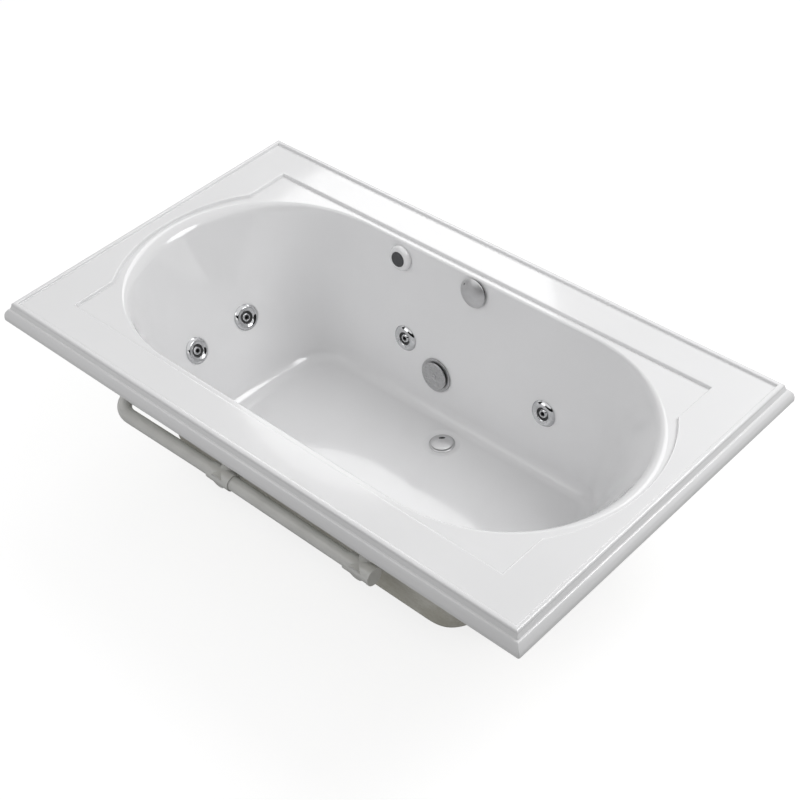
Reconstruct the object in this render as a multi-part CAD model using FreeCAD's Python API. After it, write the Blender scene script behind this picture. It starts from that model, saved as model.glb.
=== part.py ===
import FreeCAD, Part
import math
import os

os.makedirs("parts", exist_ok=True)

Vector = FreeCAD.Vector

# A drop-in jetted bath, in millimetres.  X runs along the bath, Y across it and Z up.
# The origin is under the middle of the rim, on the surface that the bath stands on.
# Depths are measured down from the top of the rim's raised bead.
# Each wall fitting is drawn on its own axis: z = 0 is the face of the wall, z points into
# the basin, x is level and y points up the wall.

# driving sizes
bath_length = 1829.0
bath_width = 1067.0
bath_height = 572.0
floor_depth = 512.0
shell = 8.0
deck_depth = 12.5
panel_depth = 17.5
skirt_depth = 56.0

# recessed panel round the basin: a rectangle joined with two discs
panel_half_length = 755.0
panel_half_width = 397.0
end_centre = 407.0
end_radius = 435.0

# basin walls: a rolled lip, a straight lean and a cove into the floor
side_lip_start = 387.0
side_lip_radius = 9.0
side_slope = 0.152
side_cove = 42.0
end_lip_radius = 52.0
left_slope = 0.51
right_slope = 0.57
end_cove = 72.0
corner_power = 1.6
crease_drop = 0.5

# timber base
board_thickness = 18.0
runner_width = 60.0
board_half_width = 200.0
board_left = -540.0
board_right = 500.0

# places of the wall fittings: along the bath and depth, or across and depth on the left end
jet_along = [-224.0, 287.0]
jet_depth = 323.0
end_jet_across = 99.0
end_jet_depth = 316.0
suction_along = -98.0
suction_depth = 389.0
waste_along = 13.0
overflow_depth = 62.0
control_along = -257.5
control_depth = 69.5
drain_across = 214.0

# fits
slack = 0.3
running = 0.05
pad_depth = 12.0
seal = 1.5
seal_gap = 0.03

# jet
jet_trim_radius = 40.0
jet_flange_radius = 33.0
jet_flange_top = 5.0
jet_barrel_radius = 25.0
jet_bore_radius = 21.0
ball_radius = 17.0
ball_height = -8.0
manifold_back = 62.0
water_pipe_radius = 21.0
water_pipe_wall = 3.5
air_pipe_radius = 8.0
air_pipe_back = 36.0
air_pipe_rise = 33.0
socket_half_length = 42.0
socket_grip = 18.0
corner_reach = 292.0
corner_straight = 80.0

# suction fitting and pump
suction_pipe_radius = 24.15
suction_pipe_wall = 3.7
suction_back = 70.0
volute_radius = 62.0
volute_flange = 70.0
bolt_circle = 65.5
pump_lift = 3.0
pump_along = -500.0
discharge_offset = 54.0
discharge_forward = 9.0
motor_radius = 60.0
rotor_radius = 31.0
fan_radius = 50.0
shaft_radius = 7.0

# waste and overflow
waste_pipe_radius = 19.05
waste_pipe_wall = 1.6
waste_y = 438.0
waste_z = 24.0
cable_radius = 2.5
cable_side = 26.5
cable_forward = 6.0
cable_top = 479.0
stopper_lift = 10.0


# basin formula
def lip_limit(depth, start, radius, grow):
    """Distance of the rolled lip from the middle at a depth."""
    bend = radius - grow
    drop = depth - panel_depth - grow
    edge = min(crease_drop, 0.4 * bend)
    if drop < edge:
        turn = math.acos(1.0 - edge / bend)
        return start - bend * math.sin(turn) + (edge - drop) / math.tan(turn)
    return start - math.sqrt(max(0.0, bend ** 2 - (bend - drop) ** 2))


def reach_at(depth, start, lip_radius, slope, cove, grow):
    """Distance of the basin wall from the middle at a depth: lip, wall or cove."""
    lean = math.atan(slope)
    bend = lip_radius - grow
    lip_end = panel_depth + grow + bend * (1.0 - math.sin(lean))
    if depth < lip_end:
        return lip_limit(depth, start, lip_radius, grow)
    line = start - bend * math.cos(lean) - slope * (depth - lip_end)
    centre = floor_depth - cove
    bowl = cove + grow
    cove_start = centre + bowl * math.sin(lean)
    if depth <= cove_start:
        return line
    at_start = start - bend * math.cos(lean) - slope * (cove_start - lip_end)
    drop = min(bowl, depth - centre)
    return at_start - bowl * math.cos(lean) + math.sqrt(bowl ** 2 - drop ** 2)


def basin_sizes(depth, grow=0.0):
    """Half width, left reach, right reach and squareness of the basin at a depth."""
    tip = end_centre + end_radius
    half_width = reach_at(depth, side_lip_start, side_lip_radius, side_slope, side_cove, grow)
    left = reach_at(depth, tip, end_lip_radius, left_slope, end_cove, grow)
    right = reach_at(depth, tip, end_lip_radius, right_slope, end_cove, grow)
    share = max(0.0, min(1.0, (depth - panel_depth) / (floor_depth - panel_depth)))
    power = 2.0 + corner_power * share ** 2
    return half_width, left, right, power


def end_point(turn, reach, half_width, power):
    """Point of an end outline at a turn: distance past the end centre, and across."""
    along = max(0.0, math.cos(turn))
    across = math.sin(turn)
    size = (along ** power + abs(across) ** power) ** (1.0 / power)
    return (reach - end_centre) * along / size, half_width * across / size


def basin_outline(depth, grow):
    """Closed outline of the basin at a depth: two straight sides and two curved ends."""
    half_width, left, right, power = basin_sizes(depth, grow)
    height = bath_height - depth
    ends = []
    steps = 14
    for side, reach in ((1.0, right), (-1.0, left)):
        points = []
        for step in range(-steps, steps + 1):
            turn = step / steps * math.pi / 2.0
            along, across = end_point(turn, reach, half_width, power)
            points.append(Vector(side * (end_centre + along), side * across, height))
        curve = Part.BSplineCurve()
        outward = Vector(side, 0.0, 0.0)
        curve.interpolate(Points=points, InitialTangent=outward, FinalTangent=outward * -1.0)
        ends.append(curve.toShape())
    corner = Vector(end_centre, half_width, height)
    mirrored = Vector(-end_centre, half_width, height)
    near = Part.makeLine(corner * -1.0 + Vector(0, 0, 2.0 * height),
                         mirrored * -1.0 + Vector(0, 0, 2.0 * height))
    far = Part.makeLine(corner, mirrored)
    return Part.Wire([near, ends[0], far, ends[1]])


def basin_solid(depths, grow=0.0):
    return Part.makeLoft([basin_outline(depth, grow) for depth in depths], True, False)


def wall_seat(side, along, depth):
    """Point and inward direction on the near (-1) or far (+1) wall."""
    half_width = basin_sizes(depth)[0]
    lean = math.atan(side_slope)
    point = Vector(along, side * half_width, bath_height - depth)
    inward = Vector(0.0, -side * math.cos(lean), math.sin(lean))
    return point, inward


def left_reach(across, depth):
    half_width, left, right, power = basin_sizes(depth)
    share = (1.0 - (abs(across) / half_width) ** power) ** (1.0 / power)
    return end_centre + (left - end_centre) * share


def end_seat(across, depth):
    """Point and inward direction on the left end wall."""
    small = 0.5
    here = left_reach(across, depth)
    by_across = (left_reach(across + small, depth) - left_reach(across - small, depth)) / (2 * small)
    by_depth = (left_reach(across, depth + small) - left_reach(across, depth - small)) / (2 * small)
    inward = Vector(1.0, by_across, -by_depth)
    inward.normalize()
    return Vector(-here, across, bath_height - depth), inward


# drawing helpers
def frame_at(point, inward):
    level = Vector(0, 0, 1).cross(inward)
    level.normalize()
    up = inward.cross(level)
    return FreeCAD.Placement(FreeCAD.Matrix(level.x, up.x, inward.x, point.x,
                                            level.y, up.y, inward.y, point.y,
                                            level.z, up.z, inward.z, point.z,
                                            0, 0, 0, 1))


def moved(shape, seat):
    copy = shape.copy()
    copy.Placement = frame_at(*seat).multiply(copy.Placement)
    return copy


def spot(seat, x, y, z):
    return frame_at(*seat).multVec(Vector(x, y, z))


def rod(radius, low, high, x=0.0, y=0.0):
    return Part.makeCylinder(radius, high - low, Vector(x, y, low), Vector(0, 0, 1))


def bar(radius, start, end):
    """Cylinder from one point to another."""
    way = end - start
    return Part.makeCylinder(radius, way.Length, start, way)


def ring(outer, inner, low, high):
    return rod(outer, low, high).cut(rod(inner, low - 1.0, high + 1.0))


def turned(points):
    """Solid turned about z from (radius, height) points; a three-value point bends through."""
    edges = []
    loop = points + [points[0]]
    last = Vector(loop[0][0], 0, loop[0][1])
    through = None
    for item in loop[1:]:
        place = Vector(item[0], 0, item[1])
        if len(item) == 3:
            through = place
            continue
        if through is None:
            edges.append(Part.makeLine(last, place))
        else:
            edges.append(Part.Arc(last, through, place).toShape())
        last = place
        through = None
    face = Part.Face(Part.Wire(edges))
    return face.revolve(Vector(0, 0, 0), Vector(0, 0, 1), 360.0)


def box(low, high):
    return Part.makeBox(high[0] - low[0], high[1] - low[1], high[2] - low[2], Vector(*low))


def route(points, bend):
    """Path of straight runs joined by tangent arcs."""
    edges = []
    last = points[0]
    for index in range(1, len(points) - 1):
        corner = points[index]
        back = points[index - 1] - corner
        ahead = points[index + 1] - corner
        back.normalize()
        ahead.normalize()
        turn = math.pi - back.getAngle(ahead)
        cut = bend * math.tan(turn / 2.0)
        first = corner + back * cut
        second = corner + ahead * cut
        inner = back + ahead
        inner.normalize()
        centre_gap = bend / math.cos(turn / 2.0)
        middle = corner + inner * (centre_gap - bend)
        edges.append(Part.makeLine(last, first))
        edges.append(Part.Arc(first, middle, second).toShape())
        last = second
    edges.append(Part.makeLine(last, points[-1]))
    return Part.Wire(edges)


def swept(points, bend, radius):
    path = route(points, bend)
    way = points[1] - points[0]
    circle = Part.Wire(Part.makeCircle(radius, points[0], way))
    return path.makePipeShell([circle], True, False)


def pipe(points, bend, outer, inner):
    return swept(points, bend, outer).cut(swept(points, bend, inner))


def nut(outer, inner, low, high, ribs=8):
    """Hand nut: a ring with raised ribs."""
    body = ring(outer - 3.0, inner, low, high)
    for index in range(ribs):
        turn = 2.0 * math.pi * index / ribs
        rib = rod(4.5, low, high, (outer - 4.5) * math.cos(turn), (outer - 4.5) * math.sin(turn))
        body = body.fuse(rib.cut(rod(outer - 4.0, low - 1, high + 1)))
    return body.removeSplitter()


def save(name, shape):
    assert shape.isValid(), name
    shape.exportStep("parts/" + name + ".step")
    size = shape.BoundBox
    print(name, len(shape.Solids), round(shape.Volume / 1000.0, 1), "cm3",
          [round(v) for v in (size.XMin, size.XMax, size.YMin, size.YMax, size.ZMin, size.ZMax)])


# seats of the fittings
far_jets = [wall_seat(1.0, along, jet_depth) for along in jet_along]
near_jets = [wall_seat(-1.0, along, jet_depth) for along in jet_along]
left_jets = [end_seat(end_jet_across, end_jet_depth), end_seat(-end_jet_across, end_jet_depth)]
jets = [far_jets[1], far_jets[0], left_jets[0], left_jets[1], near_jets[0], near_jets[1]]
suction_seat = wall_seat(1.0, suction_along, suction_depth)
overflow_seat = wall_seat(1.0, waste_along, overflow_depth)
control_seat = wall_seat(1.0, control_along, control_depth)
floor_top = bath_height - floor_depth
floor_under = floor_top - shell
board_under = floor_under - board_thickness
half_length = bath_length / 2.0
half_width = bath_width / 2.0
cable_place = Vector(waste_along + cable_side, waste_y + cable_forward, 0.0)

# the pump is drawn on the shaft: z = 0 is the middle of the volute, z points to the inlet
pump_z = floor_under + volute_flange + pump_lift
run_start = spot(jets[1], -corner_straight, 0, -manifold_back)
run_corner = spot(jets[2], corner_reach, 0, -manifold_back)
run_corner.y = run_start.y
run_way = run_corner - run_start
run_way.normalize()
tee_along = pump_along + discharge_forward
tee_point = run_start + run_way * ((tee_along - run_start.x) / run_way.x)
pump_seat = (Vector(pump_along, tee_point.y + discharge_offset, pump_z), Vector(1, 0, 0))
port_top = tee_point.z - 38.0 - pump_z
bracket_holes = [(-54, -176), (-54, -104), (54, -176), (54, -104)]


# shell
def rim_section():
    """Section of the moulded rim: skirt, ogee, raised bead and the edge of the deck."""
    def at(inset, depth):
        return Vector(0, inset - half_width, bath_height - depth)

    under = deck_depth + shell
    edges = [
        Part.makeLine(at(shell, skirt_depth), at(0, skirt_depth)),
        Part.makeLine(at(0, skirt_depth), at(0, 46)),
        Part.Arc(at(0, 46), at(4.2, 33.2), at(12, 22)).toShape(),
        Part.makeLine(at(12, 22), at(16.5, 20.8)),
        Part.Arc(at(16.5, 20.8), at(18.6, 14), at(21, 8)).toShape(),
        Part.Arc(at(21, 8), at(28, 0), at(35, 8)).toShape(),
        Part.makeLine(at(35, 8), at(38, deck_depth)),
        Part.makeLine(at(38, deck_depth), at(46, deck_depth)),
        Part.makeLine(at(46, deck_depth), at(46, under)),
        Part.makeLine(at(46, under), at(30, under)),
        Part.makeLine(at(30, under), at(18, 28)),
        Part.makeLine(at(18, 28), at(shell, 46)),
        Part.makeLine(at(shell, 46), at(shell, skirt_depth)),
    ]
    return Part.Wire(edges)


def rim_moulding():
    low = bath_height - skirt_depth
    corners = [Vector(0, -half_width, low)]
    for x, y in ((1, -1), (1, 1), (-1, 1), (-1, -1)):
        corners.append(Vector(x * half_length, y * half_width, low))
    corners.append(corners[0])
    path = Part.makePolygon(corners)
    return path.makePipeShell([rim_section()], True, False, 1)


def panel_prism(grow, low, high):
    """The panel's outline, a rectangle joined with two discs, as a solid."""
    long = panel_half_length + grow
    wide = panel_half_width + grow
    solid = box((-long, -wide, low), (long, wide, high))
    for side in (-1, 1):
        disc = rod(end_radius + grow, low, high, side * end_centre)
        keep = box((-half_length, -wide, low), (half_length, wide, high))
        solid = solid.fuse(disc.common(keep))
    return solid.removeSplitter()


def tub_shell():
    inner_depths = [16.5, 18, 18.8, 20, 22, 24.5, 28, 33, 39, 46, 56, 75, 110, 160, 220, 280,
                    340, 400, 440, 462, 475, 487, 497, 504, 508.5, 511, floor_depth]
    outer_depths = [25.8, 28, 33, 39, 46, 56, 75, 110, 160, 220, 280, 340, 400, 445, 465, 480,
                    493, 504, 512, 517, 519.3, floor_depth + shell]
    top = bath_height - deck_depth
    body = rim_moulding()
    body = body.fuse(box((44 - half_length, 44 - half_width, top - shell),
                         (half_length - 44, half_width - 44, top)))
    body = body.fuse(panel_prism(10.0, bath_height - panel_depth - shell - 0.7, top - 6.0))
    body = body.fuse(basin_solid(outer_depths, shell))
    for seat in jets:
        body = body.fuse(moved(rod(46.0, -pad_depth, -2.0), seat))
    body = body.fuse(moved(rod(52.0, -pad_depth, -2.0), suction_seat))
    body = body.fuse(moved(rod(42.0, -pad_depth, -2.0), overflow_seat))
    body = body.fuse(moved(rod(34.0, -pad_depth, -2.0), control_seat))
    body = body.fuse(rod(46.0, floor_under - 4.0, floor_under + 1.0, waste_along, drain_across))
    body = body.cut(basin_solid(inner_depths))
    recess_top = bath_height - deck_depth + 3.0
    body = body.cut(panel_prism(0.0, bath_height - panel_depth, recess_top))
    for seat in jets:
        body = body.cut(moved(rod(jet_barrel_radius + slack, -60.0, 20.0), seat))
    for seat in left_jets:
        body = body.cut(moved(rod(jet_trim_radius + 2.0, 0.0, 20.0), seat))
    body = body.cut(moved(rod(30.0 + slack, -60.0, 20.0), suction_seat))
    body = body.cut(moved(rod(33.0 + slack, -60.0, 20.0), overflow_seat))
    body = body.cut(moved(rod(14.3 + slack, -60.0, 20.0), control_seat))
    dish = turned([(0, 0.0), (39.0, 0.0), (54.0, 4.0), (54.0, 12.0), (0, 12.0)])
    dish.translate(Vector(waste_along, drain_across, floor_top - 4.0))
    body = body.cut(dish)
    body = body.cut(rod(22.0 + slack, 0.0, floor_top + 10.0, waste_along, drain_across))
    return body.removeSplitter()


# timber base
def base_board():
    """Board under the floor, widened under the pump and notched round the drain shoe."""
    low = board_under
    wide = board_half_width
    outline = [(board_right, -wide), (board_right, wide), (-430, wide), (-430, 515), (-800, 515),
               (-800, 380), (board_left, wide), (board_left, -wide)]
    points = [Vector(x, y, low) for x, y in outline]
    points.append(points[0])
    board = Part.Face(Part.makePolygon(points)).extrude(Vector(0, 0, board_thickness))
    board = board.cut(rod(56.0, low - 1, floor_under + 1, waste_along, drain_across))
    for x, z in bracket_holes:
        low_end = spot(pump_seat, x, floor_under - pump_z - 20.0, z)
        board = board.cut(bar(4.1, low_end, low_end + Vector(0, 0, 40)))
    return board


def base_runners():
    spans = [(x, -board_half_width, board_half_width) for x in (-440.0, -160.0, 180.0, 440.0)]
    spans.append((-490.0, 225.0, 505.0))
    spans.append((-755.0, 395.0, 505.0))
    solids = []
    for x, near, far in spans:
        solids.append(box((x - runner_width / 2, near, 0), (x + runner_width / 2, far, board_under)))
    return Part.makeCompound(solids)


# jets
def jet_body():
    reach = -manifold_back
    pipe_fit = water_pipe_radius + 0.1
    air_fit = air_pipe_radius + 0.1
    body = rod(jet_barrel_radius, reach, jet_flange_top)
    body = body.fuse(rod(jet_flange_radius, seal, jet_flange_top))
    across = Vector(socket_half_length, 0, reach)
    body = body.fuse(bar(pipe_fit + 3.9, Vector(-across.x, 0, reach), across))
    body = body.fuse(rod(jet_barrel_radius, reach - pipe_fit, reach))
    air_back = -air_pipe_back
    body = body.fuse(bar(air_fit + 2.0, Vector(-24, air_pipe_rise, air_back),
                         Vector(24, air_pipe_rise, air_back)))
    body = body.cut(rod(jet_bore_radius, reach, jet_flange_top + 1.0))
    body = body.cut(bar(water_pipe_radius - water_pipe_wall, Vector(-60, 0, reach),
                        Vector(60, 0, reach)))
    body = body.cut(bar(air_pipe_radius - 2.0, Vector(-60, air_pipe_rise, air_back),
                        Vector(60, air_pipe_rise, air_back)))
    body = body.cut(bar(3.0, Vector(0, 0, air_back), Vector(0, air_pipe_rise, air_back)))
    for side in (-1, 1):
        mouth = Vector(side * 60, 0, reach)
        deep = Vector(side * (socket_half_length - socket_grip), 0, reach)
        body = body.cut(bar(pipe_fit, deep, mouth))
        lift = Vector(0, air_pipe_rise, air_back - reach)
        deep = Vector(side * 12.0, 0, reach)
        body = body.cut(bar(air_fit, deep + lift, mouth + lift))
    return body


def jet_ring():
    """Trim and sleeve in one piece, with the ball's socket inside."""
    outer = jet_trim_radius
    cover = jet_flange_radius + 0.6
    above = jet_flange_top + slack
    sleeve = jet_bore_radius - running
    body = turned([(12.0, -26.0), (sleeve, -26.0), (sleeve, above), (cover, above), (cover, 0.5),
                   (outer, 0.5), (outer, 2.4), (38.3, 6.0, 0), (34.0, 8.4), (30.0, 9.4, 0),
                   (26.0, 8.8), (20.6, 6.6), (19.4, 4.6), (19.4, 2.0), (14.6, 2.0),
                   (14.6, ball_height), (12.0, ball_height)])
    return body.cut(Part.makeSphere(ball_radius + slack, Vector(0, 0, ball_height)))


def jet_nozzle():
    ball = Part.makeSphere(ball_radius, Vector(0, 0, ball_height))
    ball = ball.common(rod(ball_radius + 1.0, ball_height - 13.0, ball_height + 13.0))
    bore = turned([(0, ball_height - 14.0), (9.0, ball_height - 14.0), (5.4, ball_height + 6.0),
                   (5.4, ball_height + 11.5), (7.0, ball_height + 14.0), (0, ball_height + 14.0)])
    return ball.cut(bore)


def at_jets(shape):
    return Part.makeCompound([moved(shape, seat) for seat in jets])


# suction fitting
def suction_body():
    back = -suction_back
    fit = suction_pipe_radius + 0.1
    body = rod(30.0, back - 30.0, 5.5).fuse(rod(52.5, seal, 5.5))
    body = body.fuse(bar(28.8, Vector(-62, 0, back), Vector(0, 0, back)))
    body = body.cut(rod(25.0, back, 10.0))
    body = body.cut(bar(20.0, Vector(-70, 0, back), Vector(0, 0, back)))
    body = body.cut(bar(fit, Vector(-70, 0, back), Vector(-42, 0, back)))
    body = body.fuse(box((-26, -6, -9), (26, 6, 4.0)))
    return body.cut(rod(2.1, -12, 6))


def suction_cover():
    plate = turned([(0, 9.5), (43.5, 9.5), (43.5, 12.0), (42.6, 13.2, 0), (41.5, 13.6), (9.0, 13.6),
                    (7.0, 11.8), (0, 11.8)])
    for index in range(4):
        turn = math.pi / 4 + index * math.pi / 2
        plate = plate.fuse(rod(3.0, 5.5, 10.0, 36.0 * math.cos(turn), 36.0 * math.sin(turn)))
    return plate.cut(rod(2.6, 5, 14))


def suction_screw():
    head = turned([(0, 11.8), (5.5, 11.8), (5.2, 13.2), (0, 14.2)])
    shank = rod(2.1, -8.0, 12.0)
    slot = box((-6, -0.6, 13.3), (6, 0.6, 15))
    return head.fuse(shank).cut(slot)


# waste and overflow
def overflow_body():
    body = moved(rod(33.0, -82.0, -2.0), overflow_seat)
    base = Vector(waste_along, waste_y, 440.0)
    top = Vector(waste_along, waste_y, 496.0)
    body = body.fuse(bar(23.0, base, top))
    body = body.cut(moved(rod(29.0, -78.0, 2.0), overflow_seat))
    body = body.cut(bar(waste_pipe_radius - waste_pipe_wall, base - Vector(0, 0, 1), top))
    body = body.cut(bar(waste_pipe_radius + 0.1, base - Vector(0, 0, 1), base + Vector(0, 0, 24)))
    web = moved(box((-30.5, -6, -20), (30.5, 6, -12)), overflow_seat)
    body = body.fuse(web).cut(moved(rod(6.1, -30, 4), overflow_seat))
    for side in (-1, 1):
        body = body.cut(moved(rod(2.05, -12.0, 4.0, side * 31.0), overflow_seat))
    return body.cut(rod(cable_radius + 0.1, 400.0, cable_top + 1.0, cable_place.x, cable_place.y))


def overflow_plate():
    plate = ring(38.0, 6.0, seal, 4.5)
    for index in range(8):
        turn = (index + 0.5) * math.pi / 4
        plate = plate.cut(rod(5.0, 0, 6, 21 * math.cos(turn), 21 * math.sin(turn)))
    for side in (-1, 1):
        plate = plate.cut(rod(2.1, 0, 6, side * 31.0))
    return plate


def overflow_cap():
    dome = turned([(0, 21.0), (24.0, 19.0, 0), (43.0, 9.5), (43.0, 7.5), (40.5, 7.5), (22.0, 15.5, 0),
                   (0, 17.0)])
    stem = rod(6.0 - running, -26.0, 18.0)
    return dome.fuse(stem)


def overflow_screws():
    screw = rod(2.0, -11.0, 4.5).fuse(turned([(0, 4.5), (3.8, 4.5), (3.4, 6.2), (0, 6.8)]))
    first = screw.copy()
    first.translate(Vector(31.0, 0, 0))
    second = screw.copy()
    second.translate(Vector(-31.0, 0, 0))
    return moved(Part.makeCompound([first, second]), overflow_seat)


def drain_flange():
    flange = turned([(18.5, 0), (22.0, 0), (22.0, 24.0), (37.5, 24.0), (37.5, 25.5),
                     (31.0, 28.0, 0), (24.5, 27.0), (18.5, 24.5)])
    cross = box((-19, -2.5, 4), (19, 2.5, 9)).fuse(box((-2.5, -19, 4), (2.5, 19, 9)))
    flange = flange.fuse(cross).fuse(rod(7.0, 4, 9)).cut(rod(4.0 + running, 0, 12))
    flange.translate(Vector(waste_along, drain_across, floor_top - 28.0))
    return flange


def drain_stopper():
    stopper = turned([(0, 37.0), (20.0, 35.5, 0), (32.0, 30.5), (32.0, 29.0), (24.0, 28.6),
                      (17.0, 26.0), (14.0, 26.0), (0, 26.0)])
    stopper = stopper.fuse(rod(4.0, -4.0, 27.0))
    stopper.translate(Vector(waste_along, drain_across, floor_top - 28.0))
    return stopper


def drain_shoe():
    top = floor_under - 4.0 - seal
    shoe = rod(30.0, 4.0, top, waste_along, drain_across)
    start = Vector(waste_along, drain_across, waste_z)
    end = Vector(waste_along, waste_y - 28.0, waste_z)
    shoe = shoe.fuse(bar(waste_pipe_radius, start, end))
    shoe = shoe.cut(rod(22.1, 7.0, top + 1, waste_along, drain_across))
    return shoe.cut(bar(waste_pipe_radius - 2.0, start, end + Vector(0, 1, 0)))


def waste_tee():
    inlet = Vector(waste_along, waste_y - 46.0, waste_z)
    outlet = Vector(waste_along, waste_y + 60.0, waste_z)
    base = Vector(waste_along, waste_y, waste_z)
    top = Vector(waste_along, waste_y, waste_z + 56.0)
    deep = Vector(0, 26, 0)
    tee = bar(23.0, inlet, outlet).fuse(bar(23.0, base, top))
    tee = tee.cut(bar(17.0, inlet - deep, outlet + deep)).cut(bar(17.0, base, top + Vector(0, 0, 5)))
    tee = tee.cut(bar(waste_pipe_radius + 0.1, inlet - deep, inlet + Vector(0, 20, 0)))
    tee = tee.cut(bar(waste_pipe_radius + 0.15, outlet - Vector(0, 32, 0), outlet + deep))
    return tee.cut(bar(waste_pipe_radius + 0.1, top - Vector(0, 0, 24), top + Vector(0, 0, 5)))


def overflow_pipe():
    low = Vector(waste_along, waste_y, waste_z + 33.0)
    high = Vector(waste_along, waste_y, 463.0)
    return bar(waste_pipe_radius, low, high).cut(bar(waste_pipe_radius - waste_pipe_wall,
                                                     low - Vector(0, 0, 1), high + Vector(0, 0, 1)))


def drain_cable():
    beside_shoe = waste_along + 24.0
    points = [cable_place + Vector(0, 0, cable_top), cable_place + Vector(0, 0, 110.0),
              Vector(beside_shoe + 2.0, waste_y - 70.0, 34.0),
              Vector(beside_shoe, drain_across + 90.0, 26.0),
              Vector(beside_shoe, drain_across + 21.3, waste_z)]
    return swept(points, 30.0, cable_radius)


# control
def control_bezel():
    return turned([(14.6, 0.3), (38.0, 0.3), (38.0, 3.0), (36.0, 10.5, 0), (29.5, 15.4), (26.0, 16.6, 0),
                   (22.4, 16.0), (22.4, 4.0), (14.6, 4.0)])


def control_body():
    body = rod(14.3, -46.0, 6.0).fuse(rod(21.5, 4.0, 6.0)).fuse(rod(3.2, -60.0, -46.0))
    body = body.cut(rod(10.0, -42.0, 7.0))
    return body.cut(rod(1.6, -61.0, -40.0))


def control_button():
    stem = 10.0 - running
    return turned([(0, -8.0), (stem, -8.0), (stem, 12.6), (21.6, 12.6), (22.3, 13.4), (22.3, 17.8),
                   (21.4, 19.2), (19.0, 19.8), (16.0, 19.2), (0, 18.6)])


# pump and motor
def pump_volute():
    side = -discharge_offset
    forward = discharge_forward
    casing = rod(volute_radius, -27.0, 24.0).fuse(rod(volute_flange, -27.0, -19.0))
    casing = casing.fuse(turned([(0, 24), (54, 24), (38, 34), (30.5, 40), (30.5, 68), (0, 68)]))
    casing = casing.fuse(bar(24.0, Vector(side, -26, forward), Vector(side, port_top, forward)))
    casing = casing.cut(rod(volute_radius - 8.0, -28.0, 18.0))
    casing = casing.cut(rod(20.0, 17.0, 70.0)).cut(rod(suction_pipe_radius + 0.1, 46.0, 70.0))
    return casing.cut(bar(18.0, Vector(side, -20, forward), Vector(side, port_top + 1, forward)))


def pump_backplate():
    plate = rod(volute_flange, -37.0, -27.0).fuse(rod(volute_radius - 8.3, -27.0, -23.0))
    return plate.cut(rod(15.0, -40.0, -20.0))


def pump_seal():
    return ring(15.0, shaft_radius + running, -35.0, -20.0)


def pump_impeller():
    hub = rod(13.0, -17.0, 8.0)
    wheel = hub.fuse(rod(48.0, -17.0, -13.5))
    blade_count = 6
    for index in range(blade_count):
        blade = Part.Face(Part.Wire([
            Part.Arc(Vector(10, 0, -14), Vector(30, 8, -14), Vector(46, -6, -14)).toShape(),
            Part.makeLine(Vector(46, -6, -14), Vector(47, -2.5, -14)),
            Part.Arc(Vector(47, -2.5, -14), Vector(30, 11.5, -14), Vector(10, 3.5, -14)).toShape(),
            Part.makeLine(Vector(10, 3.5, -14), Vector(10, 0, -14)),
        ])).extrude(Vector(0, 0, 20))
        blade.rotate(Vector(0, 0, 0), Vector(0, 0, 1), 360.0 * index / blade_count)
        wheel = wheel.fuse(blade)
    return wheel.cut(rod(shaft_radius, -30.0, 20.0)).removeSplitter()


def pump_shaft():
    return rod(shaft_radius, -262.0, 12.0).fuse(rod(10.0, 8.0, 14.0))


def motor_housing():
    radius = motor_radius
    shell_part = rod(radius - 5.0, -235.0, -37.0).fuse(rod(volute_flange, -43.0, -37.0))
    fin_count = 36
    for index in range(fin_count):
        turn = 2.0 * math.pi * index / fin_count
        fin = box((radius - 7.0, -1.1, -215.0), (radius, 1.1, -60.0))
        fin.rotate(Vector(0, 0, 0), Vector(0, 0, 1), math.degrees(turn))
        shell_part = shell_part.fuse(fin)
    shell_part = shell_part.fuse(rod(radius, -235.0, -215.0)).fuse(rod(radius, -60.0, -43.0))
    hollow = rod(radius - 9.0, -222.0, -58.0)
    shell_part = shell_part.cut(hollow).cut(rod(17.0, -226.0, -48.0))
    return shell_part.cut(rod(shaft_radius + 1.5, -240.0, -30.0)).removeSplitter()


def motor_stator():
    inner = rotor_radius + 0.8
    core = ring(motor_radius - 9.0, inner, -185.0, -85.0)
    for low, high in ((-205.0, -185.0), (-85.0, -68.0)):
        middle = (low + high) / 2
        wound = motor_radius - 14.0
        core = core.fuse(turned([(inner + 2, low), (wound, low), (wound + 2, middle, 0), (wound, high),
                                 (inner + 2, high)]))
    return core


def motor_rotor():
    return ring(rotor_radius, shaft_radius, -187.0, -83.0)


def motor_bearings():
    near = ring(17.0, shaft_radius + running, -58.0, -48.0)
    far = ring(17.0, shaft_radius + running, -226.0, -216.0)
    return Part.makeCompound([near, far])


def motor_fan():
    fan = rod(14.0, -260.0, -246.0).fuse(rod(fan_radius, -249.0, -246.5))
    for index in range(7):
        blade = box((10.0, -1.2, -260.0), (fan_radius - 1.0, 1.2, -247.0))
        blade.rotate(Vector(0, 0, 0), Vector(0, 0, 1), 360.0 * index / 7.0)
        fan = fan.fuse(blade)
    return fan.cut(rod(shaft_radius, -270.0, -240.0)).removeSplitter()


def motor_fan_cover():
    radius = motor_radius + 2.0
    cover = turned([(0, -278), (radius - 12, -278), (radius - 3.5, -275.5, 0), (radius, -268),
                    (radius, -222), (radius - 1.9, -222), (radius - 1.9, -267),
                    (radius - 5.2, -273.5, 0), (radius - 12, -275.6), (0, -275.6)])
    slot_count = 12
    for index in range(slot_count):
        slot = box((16.0, -2.4, -280.0), (radius - 15, 2.4, -270.0))
        slot.rotate(Vector(0, 0, 0), Vector(0, 0, 1), 360.0 * index / slot_count)
        cover = cover.cut(slot)
    return cover


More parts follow.
